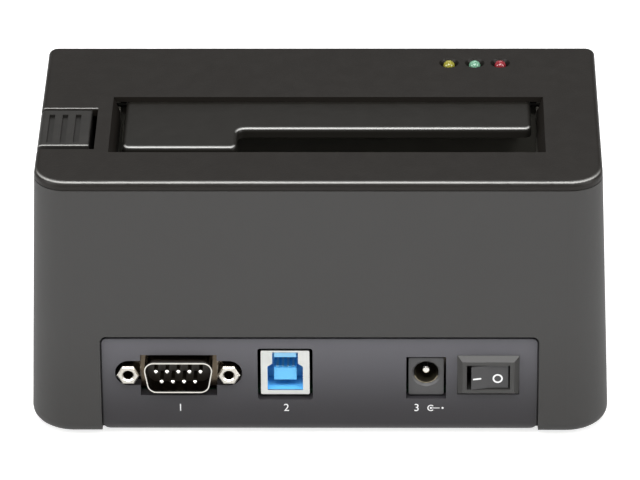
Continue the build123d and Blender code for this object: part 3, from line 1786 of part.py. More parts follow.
with BuildPart() as tact_switches:
    with BuildSketch(front_plane.offset(-front_board_depth)) as tact_bodies:
        with Locations(*[(x, -key_drop) for x in key_x]):
            Rectangle(tact_side, tact_side)
    extrude(amount=tact_height)
    with BuildSketch(front_plane.offset(-front_board_depth + tact_height)) as tact_buttons:
        with Locations(*[(x, -key_drop) for x in key_x]):
            Circle(tact_button_radius)
    extrude(amount=tact_button_height)
tact_switches.part.label = "tact_switches"

# Status lights on their small board under the cover
lights = []
for colour, x in zip(("yellow", "green", "red"), led_x):
    with BuildPart() as light:
        post(x, led_y, led_board_top, led_board_top + led_flange_height, led_flange_radius)
        post(x, led_y, led_board_top, led_board_top + led_body_height - led_radius, led_radius)
        with Locations((x, led_y, led_board_top + led_body_height - led_radius)):
            Sphere(led_radius)
    light.part.label = "led_" + colour
    lights.append(light)

lead_places = [(x + side * led_lead_half, led_y) for x in led_x for side in (-1, 1)]
with BuildPart() as led_leads:
    for x, y in lead_places:
        post(x, y, led_board_bottom - solder_tail, led_board_top, led_lead_radius)
led_leads.part.label = "led_leads"

with BuildPart() as led_board:
    block(
        (led_board_left, led_board_right),
        (led_board_near, led_board_far),
        (led_board_bottom, led_board_top),
    )
    for x, y in led_screw_places:
        post(x, y, led_board_bottom, led_board_top, screw_hole_radius, Mode.SUBTRACT)
    for x, y in lead_places:
        post(x, y, led_board_bottom, led_board_top, led_lead_radius + hole_gap, Mode.SUBTRACT)
led_board.part.label = "led_board"

# Header under the light board and its flat ribbon down to the front board
led_header_bottom = led_board_bottom - led_header_height
ribbon_end_z = led_header_bottom - ribbon_drop
ribbon_end_y = half_depth(ribbon_end_z) - front_board_depth - front_board_plate
with BuildPart() as led_header:
    block(
        around(led_link_x, led_link_count * link_pitch),
        around(led_y, link_pitch),
        (led_header_bottom, led_board_bottom),
    )
led_header.part.label = "led_header"

with BuildPart() as light_ribbon:
    ribbon_edge_x = led_link_x - led_link_count * link_pitch / 2 + hole_gap
    with BuildSketch(Plane.YZ.offset(ribbon_edge_x)) as ribbon_side:
        with BuildLine():
            Polyline(
                (led_y, led_header_bottom),
                (led_y, (led_header_bottom + ribbon_end_z) / 2),
                (ribbon_end_y - ribbon_plate, (led_header_bottom + ribbon_end_z) / 2 - ribbon_bend),
                (ribbon_end_y - ribbon_plate, ribbon_end_z - ribbon_bend),
            )
        trace(line_width=ribbon_plate)
    extrude(amount=led_link_count * link_pitch - 2 * hole_gap)
light_ribbon.part.label = "light_ribbon"

# Fasteners, one node for each kind and place
well_screw_places = [(x, well_ear_near_y if side < 0 else well_ear_far_y) for x, side in well_ear_places]
down = (0, 0, -1)
with BuildPart() as case_screws:
    for x, y in post_places:
        screw(
            Plane(origin=(x, y, base_z + case_screw_sink), z_dir=down),
            case_screw_radius,
            case_screw_length,
            case_screw_head_radius,
            case_screw_head_height,
        )
case_screws.part.label = "case_screws"

with BuildPart() as board_screws:
    for x, y in board_screw_places:
        screw(Plane((x, y, board_top)), screw_radius, screw_length, screw_head_radius, screw_head_height)
board_screws.part.label = "board_screws"

with BuildPart() as well_screws:
    for x, y in well_screw_places:
        screw(
            Plane(origin=(x, y, well_ear_top - well_ear_plate), z_dir=down),
            screw_radius,
            screw_length,
            screw_head_radius,
            screw_head_height,
        )
well_screws.part.label = "well_screws"

with BuildPart() as sata_screws:
    for x, y in sata_screw_places:
        screw(
            Plane(origin=(x, y, sata_board_bottom), z_dir=down),
            screw_radius,
            screw_length,
            screw_head_radius,
            screw_head_height,
        )
sata_screws.part.label = "sata_screws"

with BuildPart() as led_screws:
    for x, y in led_screw_places:
        screw(
            Plane(origin=(x, y, led_board_bottom), z_dir=down),
            screw_radius,
            short_screw_length,
            screw_head_radius,
            screw_head_height,
        )
led_screws.part.label = "led_screws"

front_screw_plane = front_plane.offset(-front_board_depth - front_board_plate)
with BuildPart() as front_screws:
    for x, rise in front_screw_places:
        screw(
            Plane(
                origin=front_screw_plane.from_local_coords((x, rise, 0)),
                x_dir=front_plane.x_dir,
                z_dir=-front_plane.z_dir,
            ),
            screw_radius,
            short_screw_length,
            screw_head_radius,
            screw_head_height,
        )
front_screws.part.label = "front_screws"

pieces = [
    main_shell,
    top_cover,
    drive_well,
    slot_flap,
    flap_pin,
    flap_springs,
    eject_button,
    eject_spring,
    eject_lever,
    lever_pin,
    base_tray,
    rubber_feet,
    rear_panel,
    serial_shell,
    serial_body,
    serial_pins,
    serial_nuts,
    usb_shell,
    usb_insulator,
    usb_contacts,
    jack_body,
    jack_contacts,
    switch_body,
    switch_rocker,
    switch_terminals,
    main_board,
    heat_sink,
    board_chips,
    board_capacitors,
    board_coils,
    sata_board,
    sata_receptacle,
    sata_contacts,
    link_blocks,
    link_pins,
    front_header,
    front_pins,
    front_board,
    front_fascia,
    display_window,
    display_frame,
    display_glass,
    tact_switches,
    led_board,
    led_leads,
    led_header,
    light_ribbon,
    case_screws,
    board_screws,
    well_screws,
    sata_screws,
    led_screws,
    front_screws,
]
os.makedirs("parts", exist_ok=True)
for piece in pieces + keys + lights:
    export_step(piece.part, "parts/" + piece.part.label + ".step")
print("pieces:", len(pieces + keys + lights))
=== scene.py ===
import bpy
import bmesh
import math
from mathutils import Matrix, Vector


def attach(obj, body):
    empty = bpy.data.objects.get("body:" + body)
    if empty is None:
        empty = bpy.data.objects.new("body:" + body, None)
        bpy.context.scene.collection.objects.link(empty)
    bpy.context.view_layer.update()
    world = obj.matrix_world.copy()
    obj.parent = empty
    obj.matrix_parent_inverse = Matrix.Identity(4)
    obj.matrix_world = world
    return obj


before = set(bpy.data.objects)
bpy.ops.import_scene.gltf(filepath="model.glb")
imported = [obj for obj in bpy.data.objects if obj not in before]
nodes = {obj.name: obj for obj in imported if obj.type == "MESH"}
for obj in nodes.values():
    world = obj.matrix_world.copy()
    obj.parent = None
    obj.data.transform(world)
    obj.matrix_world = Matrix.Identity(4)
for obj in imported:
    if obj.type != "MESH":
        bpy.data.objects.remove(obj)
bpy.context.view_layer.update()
mm = 0.001  # sizes in the dictionaries are in millimetres, unless a note says metres
print("frame loaded, nodes:", len(nodes))

# the case's outer walls lean in a little towards the top
case = {"baseDepth": 78.3, "topDepth": 73.2, "baseZ": 1.0, "topZ": 71.0, "panelRecess": 0.9}
leanAngle = math.atan((case["baseDepth"] - case["topDepth"]) / 2 / (case["topZ"] - case["baseZ"]))


def rearFaceY(z):
    # Y of the port panel's face at a height
    share = (z - case["baseZ"]) / (case["topZ"] - case["baseZ"])
    depth = case["baseDepth"] - (case["baseDepth"] - case["topDepth"]) * share
    return -(depth / 2 - case["panelRecess"])


# small helpers for every node tree
def wire(tree, node, values):
    # an input, by name or number, gets another node's output, a colour, a vector or a number
    for key, value in values.items():
        socket = node.inputs[key]
        if isinstance(value, bpy.types.NodeSocket):
            tree.links.new(value, socket)
        elif socket.type == "RGBA":
            socket.default_value = (*value, 1.0)
        else:
            socket.default_value = value


def newNode(tree, kind, values, **settings):
    # settings go on first, as some of them change which inputs the node has
    node = tree.nodes.new(kind)
    for setting, value in settings.items():
        setattr(node, setting, value)
    wire(tree, node, values)
    return node


def mathNode(tree, operation, first, second=0.0, clamp=False):
    values = {0: first, 1: second}
    return newNode(tree, "ShaderNodeMath", values, operation=operation, use_clamp=clamp).outputs[0]


def mixColour(tree, factor, first, second):
    # inputs 0, 6 and 7 are the factor and the two colours, output 2 is the mixed colour
    return newNode(tree, "ShaderNodeMix", {0: factor, 6: first, 7: second}, data_type="RGBA").outputs[2]


def noise(tree, vector, scale, detail=2.0, roughness=0.5):
    values = {"Vector": vector, "Scale": scale, "Detail": detail, "Roughness": roughness}
    return newNode(tree, "ShaderNodeTexNoise", values).outputs["Fac"]


def alongAxis(tree, vector, axis):
    return newNode(tree, "ShaderNodeSeparateXYZ", {0: vector}).outputs[axis]


def peakAt(tree, value, middle, reach):
    # 1 where the value is at the middle, down to 0 as far from it as the reach
    away = mathNode(tree, "ABSOLUTE", mathNode(tree, "SUBTRACT", value, middle))
    return mathNode(tree, "SUBTRACT", 1.0, mathNode(tree, "DIVIDE", away, reach), clamp=True)


def sharpened(tree, value, start, contrast):
    # 0 up to the start, then up to 1, the faster the higher the contrast
    return mathNode(tree, "MULTIPLY", mathNode(tree, "SUBTRACT", value, start), contrast, clamp=True)


# shader groups shared by the materials
def newGroup(name, inputs, outputs):
    # a number makes a number input, a tuple or None a vector input, and every output is a number
    group = bpy.data.node_groups.new(name, "ShaderNodeTree")
    for socketName, value in inputs.items():
        kind = "NodeSocketFloat" if isinstance(value, float) else "NodeSocketVector"
        socket = group.interface.new_socket(name=socketName, in_out="INPUT", socket_type=kind)
        if value is not None:
            socket.default_value = value
    for socketName in outputs:
        group.interface.new_socket(name=socketName, in_out="OUTPUT", socket_type="NodeSocketFloat")
    given = group.nodes.new("NodeGroupInput")
    made = group.nodes.new("NodeGroupOutput")
    return group, given.outputs, made


# the scales of the textures below are in cells to the metre
grainTexture = {"detail": 3.0, "pits": 0.6, "driftScale": 45.0}


def mouldedGrain():
    # fine spark-eroded texture of moulded plastic: a height and a slow light and dark drift
    group, given, made = newGroup("mouldedGrain", {"Vector": None, "Grain Size": 0.4}, ("Height", "Drift"))
    scale = mathNode(group, "DIVIDE", 1 / mm, given["Grain Size"])
    fine = noise(group, given["Vector"], scale, detail=grainTexture["detail"])
    cells = newNode(group, "ShaderNodeTexVoronoi", {"Vector": given["Vector"], "Scale": scale})
    pits = mathNode(group, "MULTIPLY", cells.outputs["Distance"], grainTexture["pits"])
    height = mathNode(group, "ADD", fine, pits)
    drift = noise(group, given["Vector"], grainTexture["driftScale"])
    wire(group, made, {"Height": height, "Drift": drift})
    return group


dustTexture = {
    "scale": 260.0, "detail": 6.0, "roughness": 0.7, "start": 0.42, "contrast": 3.0, "falloff": 3.0,
}


def settledDust():
    # a little dust where a surface faces up, in soft patches
    group, given, made = newGroup("settledDust", {"Vector": None, "Amount": 0.1}, ("Mask",))
    geometry = group.nodes.new("ShaderNodeNewGeometry")
    facing = mathNode(group, "MAXIMUM", alongAxis(group, geometry.outputs["Normal"], "Z"), 0.0)
    look = dustTexture
    up = mathNode(group, "POWER", facing, look["falloff"])
    patches = noise(group, given["Vector"], look["scale"], look["detail"], look["roughness"])
    spread = mathNode(group, "MULTIPLY", up, sharpened(group, patches, look["start"], look["contrast"]))
    wire(group, made, {"Mask": mathNode(group, "MULTIPLY", spread, given["Amount"])})
    return group


def smoothShare(name, axis, places, ends):
    # goes smoothly from one end value to the other between two named places along an axis
    group, given, made = newGroup(name, {"Vector": None, **places}, ("Share",))
    first, last = places
    values = {
        "Value": alongAxis(group, given["Vector"], axis), "From Min": given[first], "From Max": given[last],
        "To Min": ends[0], "To Max": ends[1],
    }
    ramp = newNode(group, "ShaderNodeMapRange", values, interpolation_type="SMOOTHSTEP")
    wire(group, made, {"Share": ramp.outputs["Result"]})
    return group


lineTexture = {"scale": 900.0, "stainScale": 300.0, "stainDetail": 5.0}


def brushedLines():
    # fine drawn lines on folded sheet metal, and the stains on it
    inputs = {"Vector": None, "Stretch": (1.0, 1.0, 12.0)}
    group, given, made = newGroup("brushedLines", inputs, ("Height", "Stain"))
    values = {0: given["Vector"], 1: given["Stretch"]}
    stretched = newNode(group, "ShaderNodeVectorMath", values, operation="MULTIPLY")
    lines = noise(group, stretched.outputs[0], lineTexture["scale"])
    stains = noise(group, given["Vector"], lineTexture["stainScale"], lineTexture["stainDetail"])
    wire(group, made, {"Height": lines, "Stain": stains})
    return group


rimSlope = -2.0  # full where a face is turned 30 degrees or more towards the ports


def rimLight():
    # painted highlight: roundings that face up and towards the ports are painted bright as if they catch the
    # light, flat faces aren't
    group, given, made = newGroup("rimLight", {"Normal": None, "From": 0.55, "To": 0.97}, ("Mask",))
    middle = mathNode(group, "MULTIPLY", mathNode(group, "ADD", given["From"], given["To"]), 0.5)
    half = mathNode(group, "MULTIPLY", mathNode(group, "SUBTRACT", given["To"], given["From"]), 0.5)
    peak = peakAt(group, alongAxis(group, given["Normal"], "Z"), middle, half)
    front = mathNode(group, "MULTIPLY", alongAxis(group, given["Normal"], "Y"), rimSlope, clamp=True)
    wire(group, made, {"Mask": mathNode(group, "MULTIPLY", peak, front)})
    return group


glintTexture = {"scale": 900.0, "start": 0.35, "contrast": 3.0}


def sideGlints():
    # painted glints: 1 on two upright bands, as far to each side of a middle as the reach, broken up by noise
    inputs = {"Vector": None, "Middle": 0.0, "Reach": 0.01, "Width": 0.001}
    group, given, made = newGroup("sideGlints", inputs, ("Mask",))
    offset = mathNode(group, "SUBTRACT", alongAxis(group, given["Vector"], "X"), given["Middle"])
    band = peakAt(group, mathNode(group, "ABSOLUTE", offset), given["Reach"], given["Width"])
    patches = noise(group, given["Vector"], glintTexture["scale"])
    share = sharpened(group, patches, glintTexture["start"], glintTexture["contrast"])
    wire(group, made, {"Mask": mathNode(group, "MULTIPLY", band, share)})
    return group


grainGroup = mouldedGrain()
dustGroup = settledDust()
fadeGroup = smoothShare("heightFade", "Z", {"Low": 0.0, "High": 1.0}, (0.0, 1.0))  # 1 above the high place
linesGroup = brushedLines()
rimGroup = rimLight()
depthGroup = smoothShare("depthShade", "Y", {"Front": -0.04, "Back": -0.03}, (1.0, 0.0))  # 0 past the back
glintGroup = sideGlints()
print("shader groups made")


# one maker for each kind of material
def newMaterial(name):
    material = bpy.data.materials.new(name)
    material.use_nodes = True
    tree = material.node_tree
    coordinates = tree.nodes.new("ShaderNodeTexCoord")
    return material, tree, tree.nodes["Principled BSDF"], coordinates.outputs


def placeGroup(tree, group, values):
    return newNode(tree, "ShaderNodeGroup", values, node_tree=group).outputs


def addBump(tree, shader, height, distance, strength):
    values = {"Height": height, "Distance": distance * mm, "Strength": strength}
    bump = newNode(tree, "ShaderNodeBump", values)
    wire(tree, shader, {"Normal": bump.outputs["Normal"]})


def driftedRough(tree, drift, amount, rough):
    # a roughness that varies a little over the surface
    return mathNode(tree, "ADD", mathNode(tree, "MULTIPLY", drift, amount), rough)


usualPlastic = {"roughDrift": 0.08, "specular": 0.5, "strength": 0.5, "dustColour": (0.30, 0.29, 0.27)}


def plastic(name, look):
    # moulded plastic; a look may add a painted highlight on roundings, painted shade that changes with
    # height, and dust
    look = {**usualPlastic, **look}
    material, tree, shader, surface = newMaterial(name)
    vector = surface["Object"]
    grain = placeGroup(tree, grainGroup, {"Vector": vector, "Grain Size": look["grain"]})
    base = mixColour(tree, grain["Drift"], look["colour"], look["lighter"])
    # painted highlight: a bright colour mixed in on the roundings that face up and towards the ports
    if "rim" in look:
        low, high = look["rimSpan"]
        rim = placeGroup(tree, rimGroup, {"Normal": surface["Normal"], "From": low, "To": high})
        base = mixColour(tree, rim["Mask"], base, look["rim"])
    # painted shade: the colour changes with height to a lighter, lit colour at the top
    if "paintedHeightShade" in look:
        low, high, litTopColour = look["paintedHeightShade"]
        paintedHeightShade = placeGroup(tree, fadeGroup, {"Vector": vector, "Low": low * mm, "High": high * mm})
        base = mixColour(tree, paintedHeightShade["Share"], base, litTopColour)
    if "dust" in look:
        dust = placeGroup(tree, dustGroup, {"Vector": vector, "Amount": look["dust"]})
        base = mixColour(tree, dust["Mask"], base, look["dustColour"])
    rough = driftedRough(tree, grain["Drift"], look["roughDrift"], look["rough"])
    wire(tree, shader, {"Base Color": base, "Roughness": rough, "Specular IOR Level": look["specular"]})
    addBump(tree, shader, grain["Height"], look["relief"], look["strength"])
    return material


usualMetal = {"stretch": (1.0, 1.0, 12.0), "roughDrift": 0.14, "relief": 0.01, "strength": 0.35}


def metal(name, look):
    # plated or bare metal; a look may paint shade on it towards the back and painted glints on two side bands
    # there
    look = {**usualMetal, **look}
    material, tree, shader, surface = newMaterial(name)
    vector = surface["Object"]
    lines = placeGroup(tree, linesGroup, {"Vector": vector, "Stretch": look["stretch"]})
    base = mixColour(tree, lines["Stain"], look["colour"], look["stain"])
    # painted shade: darker towards the back of the port
    if "deep" in look:
        front, back, backShadeColour = look["deep"]
        depth = placeGroup(tree, depthGroup, {"Vector": vector, "Front": front * mm, "Back": back * mm})
        # painted glints: two bright upright bands mixed into the painted shade
        if "bands" in look:
            middle, reach, width, glintColour = look["bands"]
            values = {"Vector": vector, "Middle": middle * mm, "Reach": reach * mm, "Width": width * mm}
            backShadeColour = mixColour(tree, placeGroup(tree, glintGroup, values)["Mask"], backShadeColour, glintColour)
        base = mixColour(tree, depth["Share"], backShadeColour, base)
    rough = driftedRough(tree, lines["Stain"], look["roughDrift"], look["rough"])
    wire(tree, shader, {"Base Color": base, "Roughness": rough, "Metallic": 1.0})
    addBump(tree, shader, lines["Height"], look["relief"], look["strength"])
    return material


def printedBoard(name, look):
    # solder mask with faint tracks under it
    material, tree, shader, surface = newMaterial(name)
    values = {
        "Vector": surface["Object"], "Scale": look["scale"], "Mortar Size": look["trackWidth"],
        "Color1": look["colour"], "Color2": look["second"], "Mortar": look["track"],
    }
    tracks = newNode(tree, "ShaderNodeTexBrick", values)
    grain = placeGroup(tree, grainGroup, {"Vector": surface["Object"], "Grain Size": look["grain"]})
    share = mathNode(tree, "MULTIPLY", grain["Drift"], look["drift"])
    base = mixColour(tree, share, tracks.outputs["Color"], look["colour"])
    wire(tree, shader, {"Base Color": base, "Roughness": look["rough"], "Coat Weight": look["coat"]})
    addBump(tree, shader, tracks.outputs["Fac"], look["relief"], look["strength"])
    return material


usualLens = {
    "grain": 0.6, "drift": 0.6, "rough": 0.22, "coat": 0.6, "coatRough": 0.08, "scatter": 0.3, "glow": 0.05,
    "relief": 0.01, "strength": 0.2,
}


def lens(name, look):
    # tinted light in its body, with a coat and a faint glow
    look = {**usualLens, **look}
    material, tree, shader, surface = newMaterial(name)
    grain = placeGroup(tree, grainGroup, {"Vector": surface["Object"], "Grain Size": look["grain"]})
    share = mathNode(tree, "MULTIPLY", grain["Drift"], look["drift"])
    base = mixColour(tree, share, look["colour"], look["deep"])
    wire(tree, shader, {"Base Color": base, "Roughness": look["rough"]})
    wire(tree, shader, {"Coat Weight": look["coat"], "Coat Roughness": look["coatRough"]})
    wire(tree, shader, {"Subsurface Weight": look["scatter"], "Subsurface Radius": (mm, mm, mm)})
    wire(tree, shader, {"Emission Color": look["colour"], "Emission Strength": look["glow"]})
    addBump(tree, shader, grain["Height"], look["relief"], look["strength"])
    return material


usualSheet = {"grain": 1.2, "bending": 1.49, "relief": 0.004, "strength": 0.15}


def clearSheet(name, look):
    # smoked window or display glass
    look = {**usualSheet, **look}
    material, tree, shader, surface = newMaterial(name)
    grain = placeGroup(tree, grainGroup, {"Vector": surface["Object"], "Grain Size": look["grain"]})
    base = mixColour(tree, grain["Drift"], look["colour"], look["lighter"])
    wire(tree, shader, {"Base Color": base, "Roughness": look["rough"]})
    wire(tree, shader, {"Transmission Weight": look["clear"], "IOR": look["bending"]})
    addBump(tree, shader, grain["Height"], look["relief"], look["strength"])
    return material


# looks of the plastics and rubbers; grain and relief are the size and height of the surface texture,
# and a painted height shade is the low height, the high height and the lit colour painted at the top
finish = {
    "shell": {
        "colour": (0.0350, 0.0338, 0.0323), "lighter": (0.0380, 0.0367, 0.0352), "rough": 0.48, "grain": 0.4,
        "relief": 0.025, "strength": 0.45, "dust": 0.02, "specular": 0.35,
        # painted shade: the shell is painted lighter towards the top
        "paintedHeightShade": (2.0, 34.0, (0.0470, 0.0458, 0.0444)),
    },
    "cover": {
        "colour": (0.0098, 0.0080, 0.0063), "lighter": (0.0110, 0.0091, 0.0072), "rough": 0.46, "grain": 0.48,
        "relief": 0.045, "strength": 0.6, "dust": 0.015, "specular": 0.29, "roughDrift": 0.02,
        # painted highlight colour on the cover's roundings
        "rim": (0.44, 0.436, 0.418), "rimSpan": (0.66, 0.985),
    },
    "well": {
        "colour": (0.130, 0.125, 0.107), "lighter": (0.148, 0.142, 0.122), "rough": 0.5, "grain": 0.5,
        "relief": 0.015, "dust": 0.04,
    },
    "flap": {
        "colour": (0.0104, 0.0094, 0.0076), "lighter": (0.0118, 0.0107, 0.0088), "rough": 0.42, "grain": 0.34,
        "relief": 0.018, "dust": 0.015, "specular": 0.29, "roughDrift": 0.02,
        # painted highlight colour on the flap's roundings
        "rim": (0.60, 0.598, 0.58), "rimSpan": (0.60, 0.99),
    },
    "button": {
        "colour": (0.0185, 0.0175, 0.0158), "lighter": (0.0212, 0.0200, 0.0182), "rough": 0.42, "grain": 0.3,
        "relief": 0.02, "dust": 0.03, "specular": 0.36, "roughDrift": 0.03,
        # painted highlight colour on the button's roundings
        "rim": (0.42, 0.418, 0.40), "rimSpan": (0.45, 0.99),
    },
    "panel": {
        "colour": (0.0190, 0.0174, 0.0196), "lighter": (0.0220, 0.0202, 0.0226), "rough": 0.34, "grain": 0.5,
        # painted reflection: the panel is painted lighter towards the top and darker at the bottom
        "relief": 0.005, "strength": 0.2, "specular": 0.4, "paintedHeightShade": (4.0, 29.0, (0.098, 0.096, 0.107)),
    },
    "fascia": {
        "colour": (0.010, 0.010, 0.011), "lighter": (0.014, 0.014, 0.015), "rough": 0.16, "grain": 0.7,
        "relief": 0.003, "strength": 0.15, "dust": 0.02,
    },
    "key": {
        "colour": (0.060, 0.060, 0.064), "lighter": (0.072, 0.072, 0.076), "rough": 0.42, "grain": 0.3,
        "relief": 0.012,
    },
    "tray": {
        "colour": (0.040, 0.040, 0.039), "lighter": (0.048, 0.048, 0.046), "rough": 0.5, "grain": 0.45,
        "relief": 0.02,
    },
    "rubber": {
        "colour": (0.012, 0.012, 0.012), "lighter": (0.020, 0.020, 0.020), "rough": 0.72, "grain": 0.5,
        "relief": 0.03,
    },
    "portBlack": {
        "colour": (0.026, 0.021, 0.015), "lighter": (0.046, 0.037, 0.026), "rough": 0.34, "grain": 0.4,
        "relief": 0.008,
    },
    "jack": {
        "colour": (0.056, 0.055, 0.056), "lighter": (0.066, 0.065, 0.066), "rough": 0.4, "grain": 0.4,
        "relief": 0.01,
    },
    "rocker": {
        "colour": (0.040, 0.039, 0.040), "lighter": (0.048, 0.047, 0.048), "rough": 0.3, "grain": 0.5,
        "relief": 0.005,
    },
    "bezel": {
        "colour": (0.034, 0.033, 0.0315), "lighter": (0.042, 0.041, 0.039), "rough": 0.36, "grain": 0.4,
        "relief": 0.008,
    },
    "usbBlue": {
        "colour": (0.130, 0.520, 0.900), "lighter": (0.170, 0.580, 0.940), "rough": 0.32, "grain": 0.5,
        # painted light: the blue turns lighter and greyer at the height of the upper tongue's front, which
        # lies in shade
        "relief": 0.006, "paintedHeightShade": (21.6, 22.4, (0.24, 0.52, 0.76)),
    },
    "chip": {
        "colour": (0.012, 0.012, 0.012), "lighter": (0.020, 0.020, 0.020), "rough": 0.5, "grain": 0.3,
        "relief": 0.01,
    },
    "ferrite": {
        "colour": (0.050, 0.050, 0.052), "lighter": (0.080, 0.080, 0.082), "rough": 0.6, "grain": 0.5,
        "relief": 0.03,
    },
    "ribbon": {
        "colour": (0.46, 0.46, 0.44), "lighter": (0.56, 0.56, 0.54), "rough": 0.5, "grain": 0.5,
        "relief": 0.01,
    },
    "print": {
        "colour": (0.80, 0.80, 0.80), "lighter": (0.88, 0.88, 0.88), "rough": 0.5, "grain": 0.3,
        "relief": 0.004,
    },
}
# looks of the metals; deep is the front, the back and the painted shade colour behind it, and bands
# (painted glints) are their middle, their reach to each side, their width and their colour
metals = {
    "nickel": {"colour": (0.78, 0.76, 0.71), "stain": (0.62, 0.60, 0.54), "rough": 0.16},
    "portShell": {
        "colour": (0.78, 0.76, 0.71), "stain": (0.62, 0.60, 0.54), "rough": 0.16,
        # painted shade towards the back, with painted glints on two bands beside the shell
        "deep": (-40.0, -39.2, (0.115, 0.092, 0.066)), "bands": (-34.9, 10.2, 0.9, (0.80, 0.74, 0.64)),
    },
    "leafMetal": {"colour": (0.52, 0.46, 0.34), "stain": (0.34, 0.29, 0.20), "rough": 0.3},
    "pinMetal": {
        "colour": (0.86, 0.85, 0.82), "stain": (0.70, 0.68, 0.62), "rough": 0.18,
        # painted shade: the pins are painted darker towards the back
        "deep": (-39.4, -38.2, (0.16, 0.13, 0.09)),
    },
    "nutMetal": {
        "colour": (0.74, 0.72, 0.67), "stain": (0.50, 0.47, 0.41), "rough": 0.2,
        # painted shade: the nuts are painted darker towards the back
        "deep": (-38.9, -38.0, (0.10, 0.08, 0.055)),
    },
    "jackMetal": {
        "colour": (0.86, 0.85, 0.82), "stain": (0.70, 0.68, 0.62), "rough": 0.18,
        # painted shade: the inlet's contacts are painted darker towards the back of the hole
        "deep": (-34.0, -30.0, (0.09, 0.08, 0.065)),
    },
    "darkSteel": {"colour": (0.045, 0.043, 0.040), "stain": (0.030, 0.029, 0.026), "rough": 0.4},
    "usbFace": {
        "colour": (0.70, 0.71, 0.69), "stain": (0.59, 0.60, 0.575), "rough": 0.28, "stretch": (1.0, 1.0, 6.0),
    },
    "gold": {"colour": (0.78, 0.62, 0.36), "stain": (0.62, 0.46, 0.22), "rough": 0.2},
    "steel": {"colour": (0.56, 0.56, 0.57), "stain": (0.44, 0.44, 0.45), "rough": 0.26},
    "screwSteel": {"colour": (0.26, 0.26, 0.27), "stain": (0.17, 0.17, 0.18), "rough": 0.34},
    "sink": {
        "colour": (0.48, 0.49, 0.51), "stain": (0.38, 0.39, 0.41), "rough": 0.38, "stretch": (12.0, 1.0, 1.0),
    },
    "can": {"colour": (0.74, 0.74, 0.75), "stain": (0.62, 0.62, 0.63), "rough": 0.24},
}
boardLook = {
    "colour": (0.006, 0.030, 0.014), "second": (0.007, 0.035, 0.016), "track": (0.014, 0.060, 0.028),
    "scale": 260.0, "trackWidth": 0.012, "grain": 0.8, "drift": 0.5, "rough": 0.32, "coat": 0.4,
    "relief": 0.03, "strength": 0.4,
}
lights = {
    "led_yellow": {"colour": (0.29, 0.27, 0.03), "deep": (0.19, 0.17, 0.016)},
    "led_green": {"colour": (0.17, 0.36, 0.24), "deep": (0.09, 0.25, 0.16)},
    "led_red": {"colour": (0.27, 0.018, 0.028), "deep": (0.17, 0.009, 0.015)},
}
windowLook = {"colour": (0.20, 0.21, 0.23), "lighter": (0.26, 0.27, 0.29), "rough": 0.06, "clear": 0.8}
displayLook = {"colour": (0.10, 0.14, 0.11), "lighter": (0.13, 0.17, 0.14), "rough": 0.14, "clear": 0.15}

paint = {name: plastic(name + "Plastic", look) for name, look in finish.items()}
for name, look in metals.items():
    paint[name] = metal(name + "Metal", look)
for name, look in lights.items():
    paint[name] = lens(name + "Lens", look)
paint["board"] = printedBoard("boardMask", boardLook)
paint["window"] = clearSheet("smokedWindow", windowLook)
paint["display"] = clearSheet("displayGlass", displayLook)

# which material each carried-over node wears
finishOf = {
    "main_shell": "shell", "top_cover": "cover", "drive_well": "well", "slot_flap": "flap",
    "flap_pin": "darkSteel", "flap_springs": "darkSteel", "eject_button": "button", "eject_spring": "steel",
    "eject_lever": "well", "lever_pin": "steel", "base_tray": "tray", "rubber_feet": "rubber",
    "rear_panel": "panel", "serial_shell": "portShell", "serial_body": "portBlack",
    "serial_pins": "pinMetal", "serial_nuts": "nutMetal",
    "usb_shell": "usbFace", "usb_insulator": "usbBlue", "usb_contacts": "can", "jack_body": "jack",
    "jack_contacts": "jackMetal", "switch_body": "bezel", "switch_rocker": "rocker",
    "switch_terminals": "nickel", "main_board": "board", "heat_sink": "sink", "board_chips": "chip",
    "board_capacitors": "can", "board_coils": "ferrite", "sata_board": "board",
    "sata_receptacle": "portBlack", "sata_contacts": "gold", "link_blocks": "portBlack",
    "link_pins": "gold", "front_header": "portBlack",
    "front_pins": "gold", "front_board": "board", "front_fascia": "fascia", "display_window": "window",
    "display_frame": "steel", "display_glass": "display", "tact_switches": "chip", "led_board": "board",
    "led_leads": "steel", "led_header": "portBlack", "light_ribbon": "ribbon", "case_screws": "screwSteel",
    "board_screws": "screwSteel", "well_screws": "screwSteel", "sata_screws": "screwSteel",
    "led_screws": "screwSteel", "front_screws": "screwSteel", "key_1": "key", "key_2": "key", "key_3": "key",
    "key_4": "key", "led_yellow": "led_yellow", "led_green": "led_green", "led_red": "led_red",
}
for name, node in nodes.items():
    for materialSlot in node.material_slots:
        materialSlot.material = paint[finishOf[name]]
print("materials placed on", len(nodes), "nodes")


# helpers for the new pieces, which are drawn in millimetres
def addObject(name, data):
    thing = bpy.data.objects.new(name, data)
    bpy.context.scene.collection.objects.link(thing)
    return thing


def finishPiece(name, mesh, material, body):
    piece = addObject(name, mesh)
    mesh.materials.clear()
    mesh.materials.append(material)
    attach(piece, body)


def meshFrom(name, shape):
    # scales the drawing to metres; a spin lists its corners and faces in no fixed order, so they are
    # listed anew by where they are, the same in every run
    bmesh.ops.scale(shape, verts=shape.verts, vec=(mm, mm, mm))
    bmesh.ops.recalc_face_normals(shape, faces=shape.faces)
    corners = sorted(shape.verts, key=lambda corner: tuple(corner.co))
    number = {corner: place for place, corner in enumerate(corners)}
    faces = []
    for face in shape.faces:
        around = [number[corner] for corner in face.verts]
        first = around.index(min(around))
        faces.append(around[first:] + around[:first])
    mesh = bpy.data.meshes.new(name)
    mesh.from_pydata([tuple(corner.co) for corner in corners], [], sorted(faces))
    shape.free()
    return mesh


def addBlock(shape, size, place):
    block = bmesh.ops.create_cube(shape, size=1.0)["verts"]
    bmesh.ops.scale(shape, verts=block, vec=size)
    bmesh.ops.translate(shape, verts=block, vec=place)


weldGap = 0.001  # corners closer than this become one


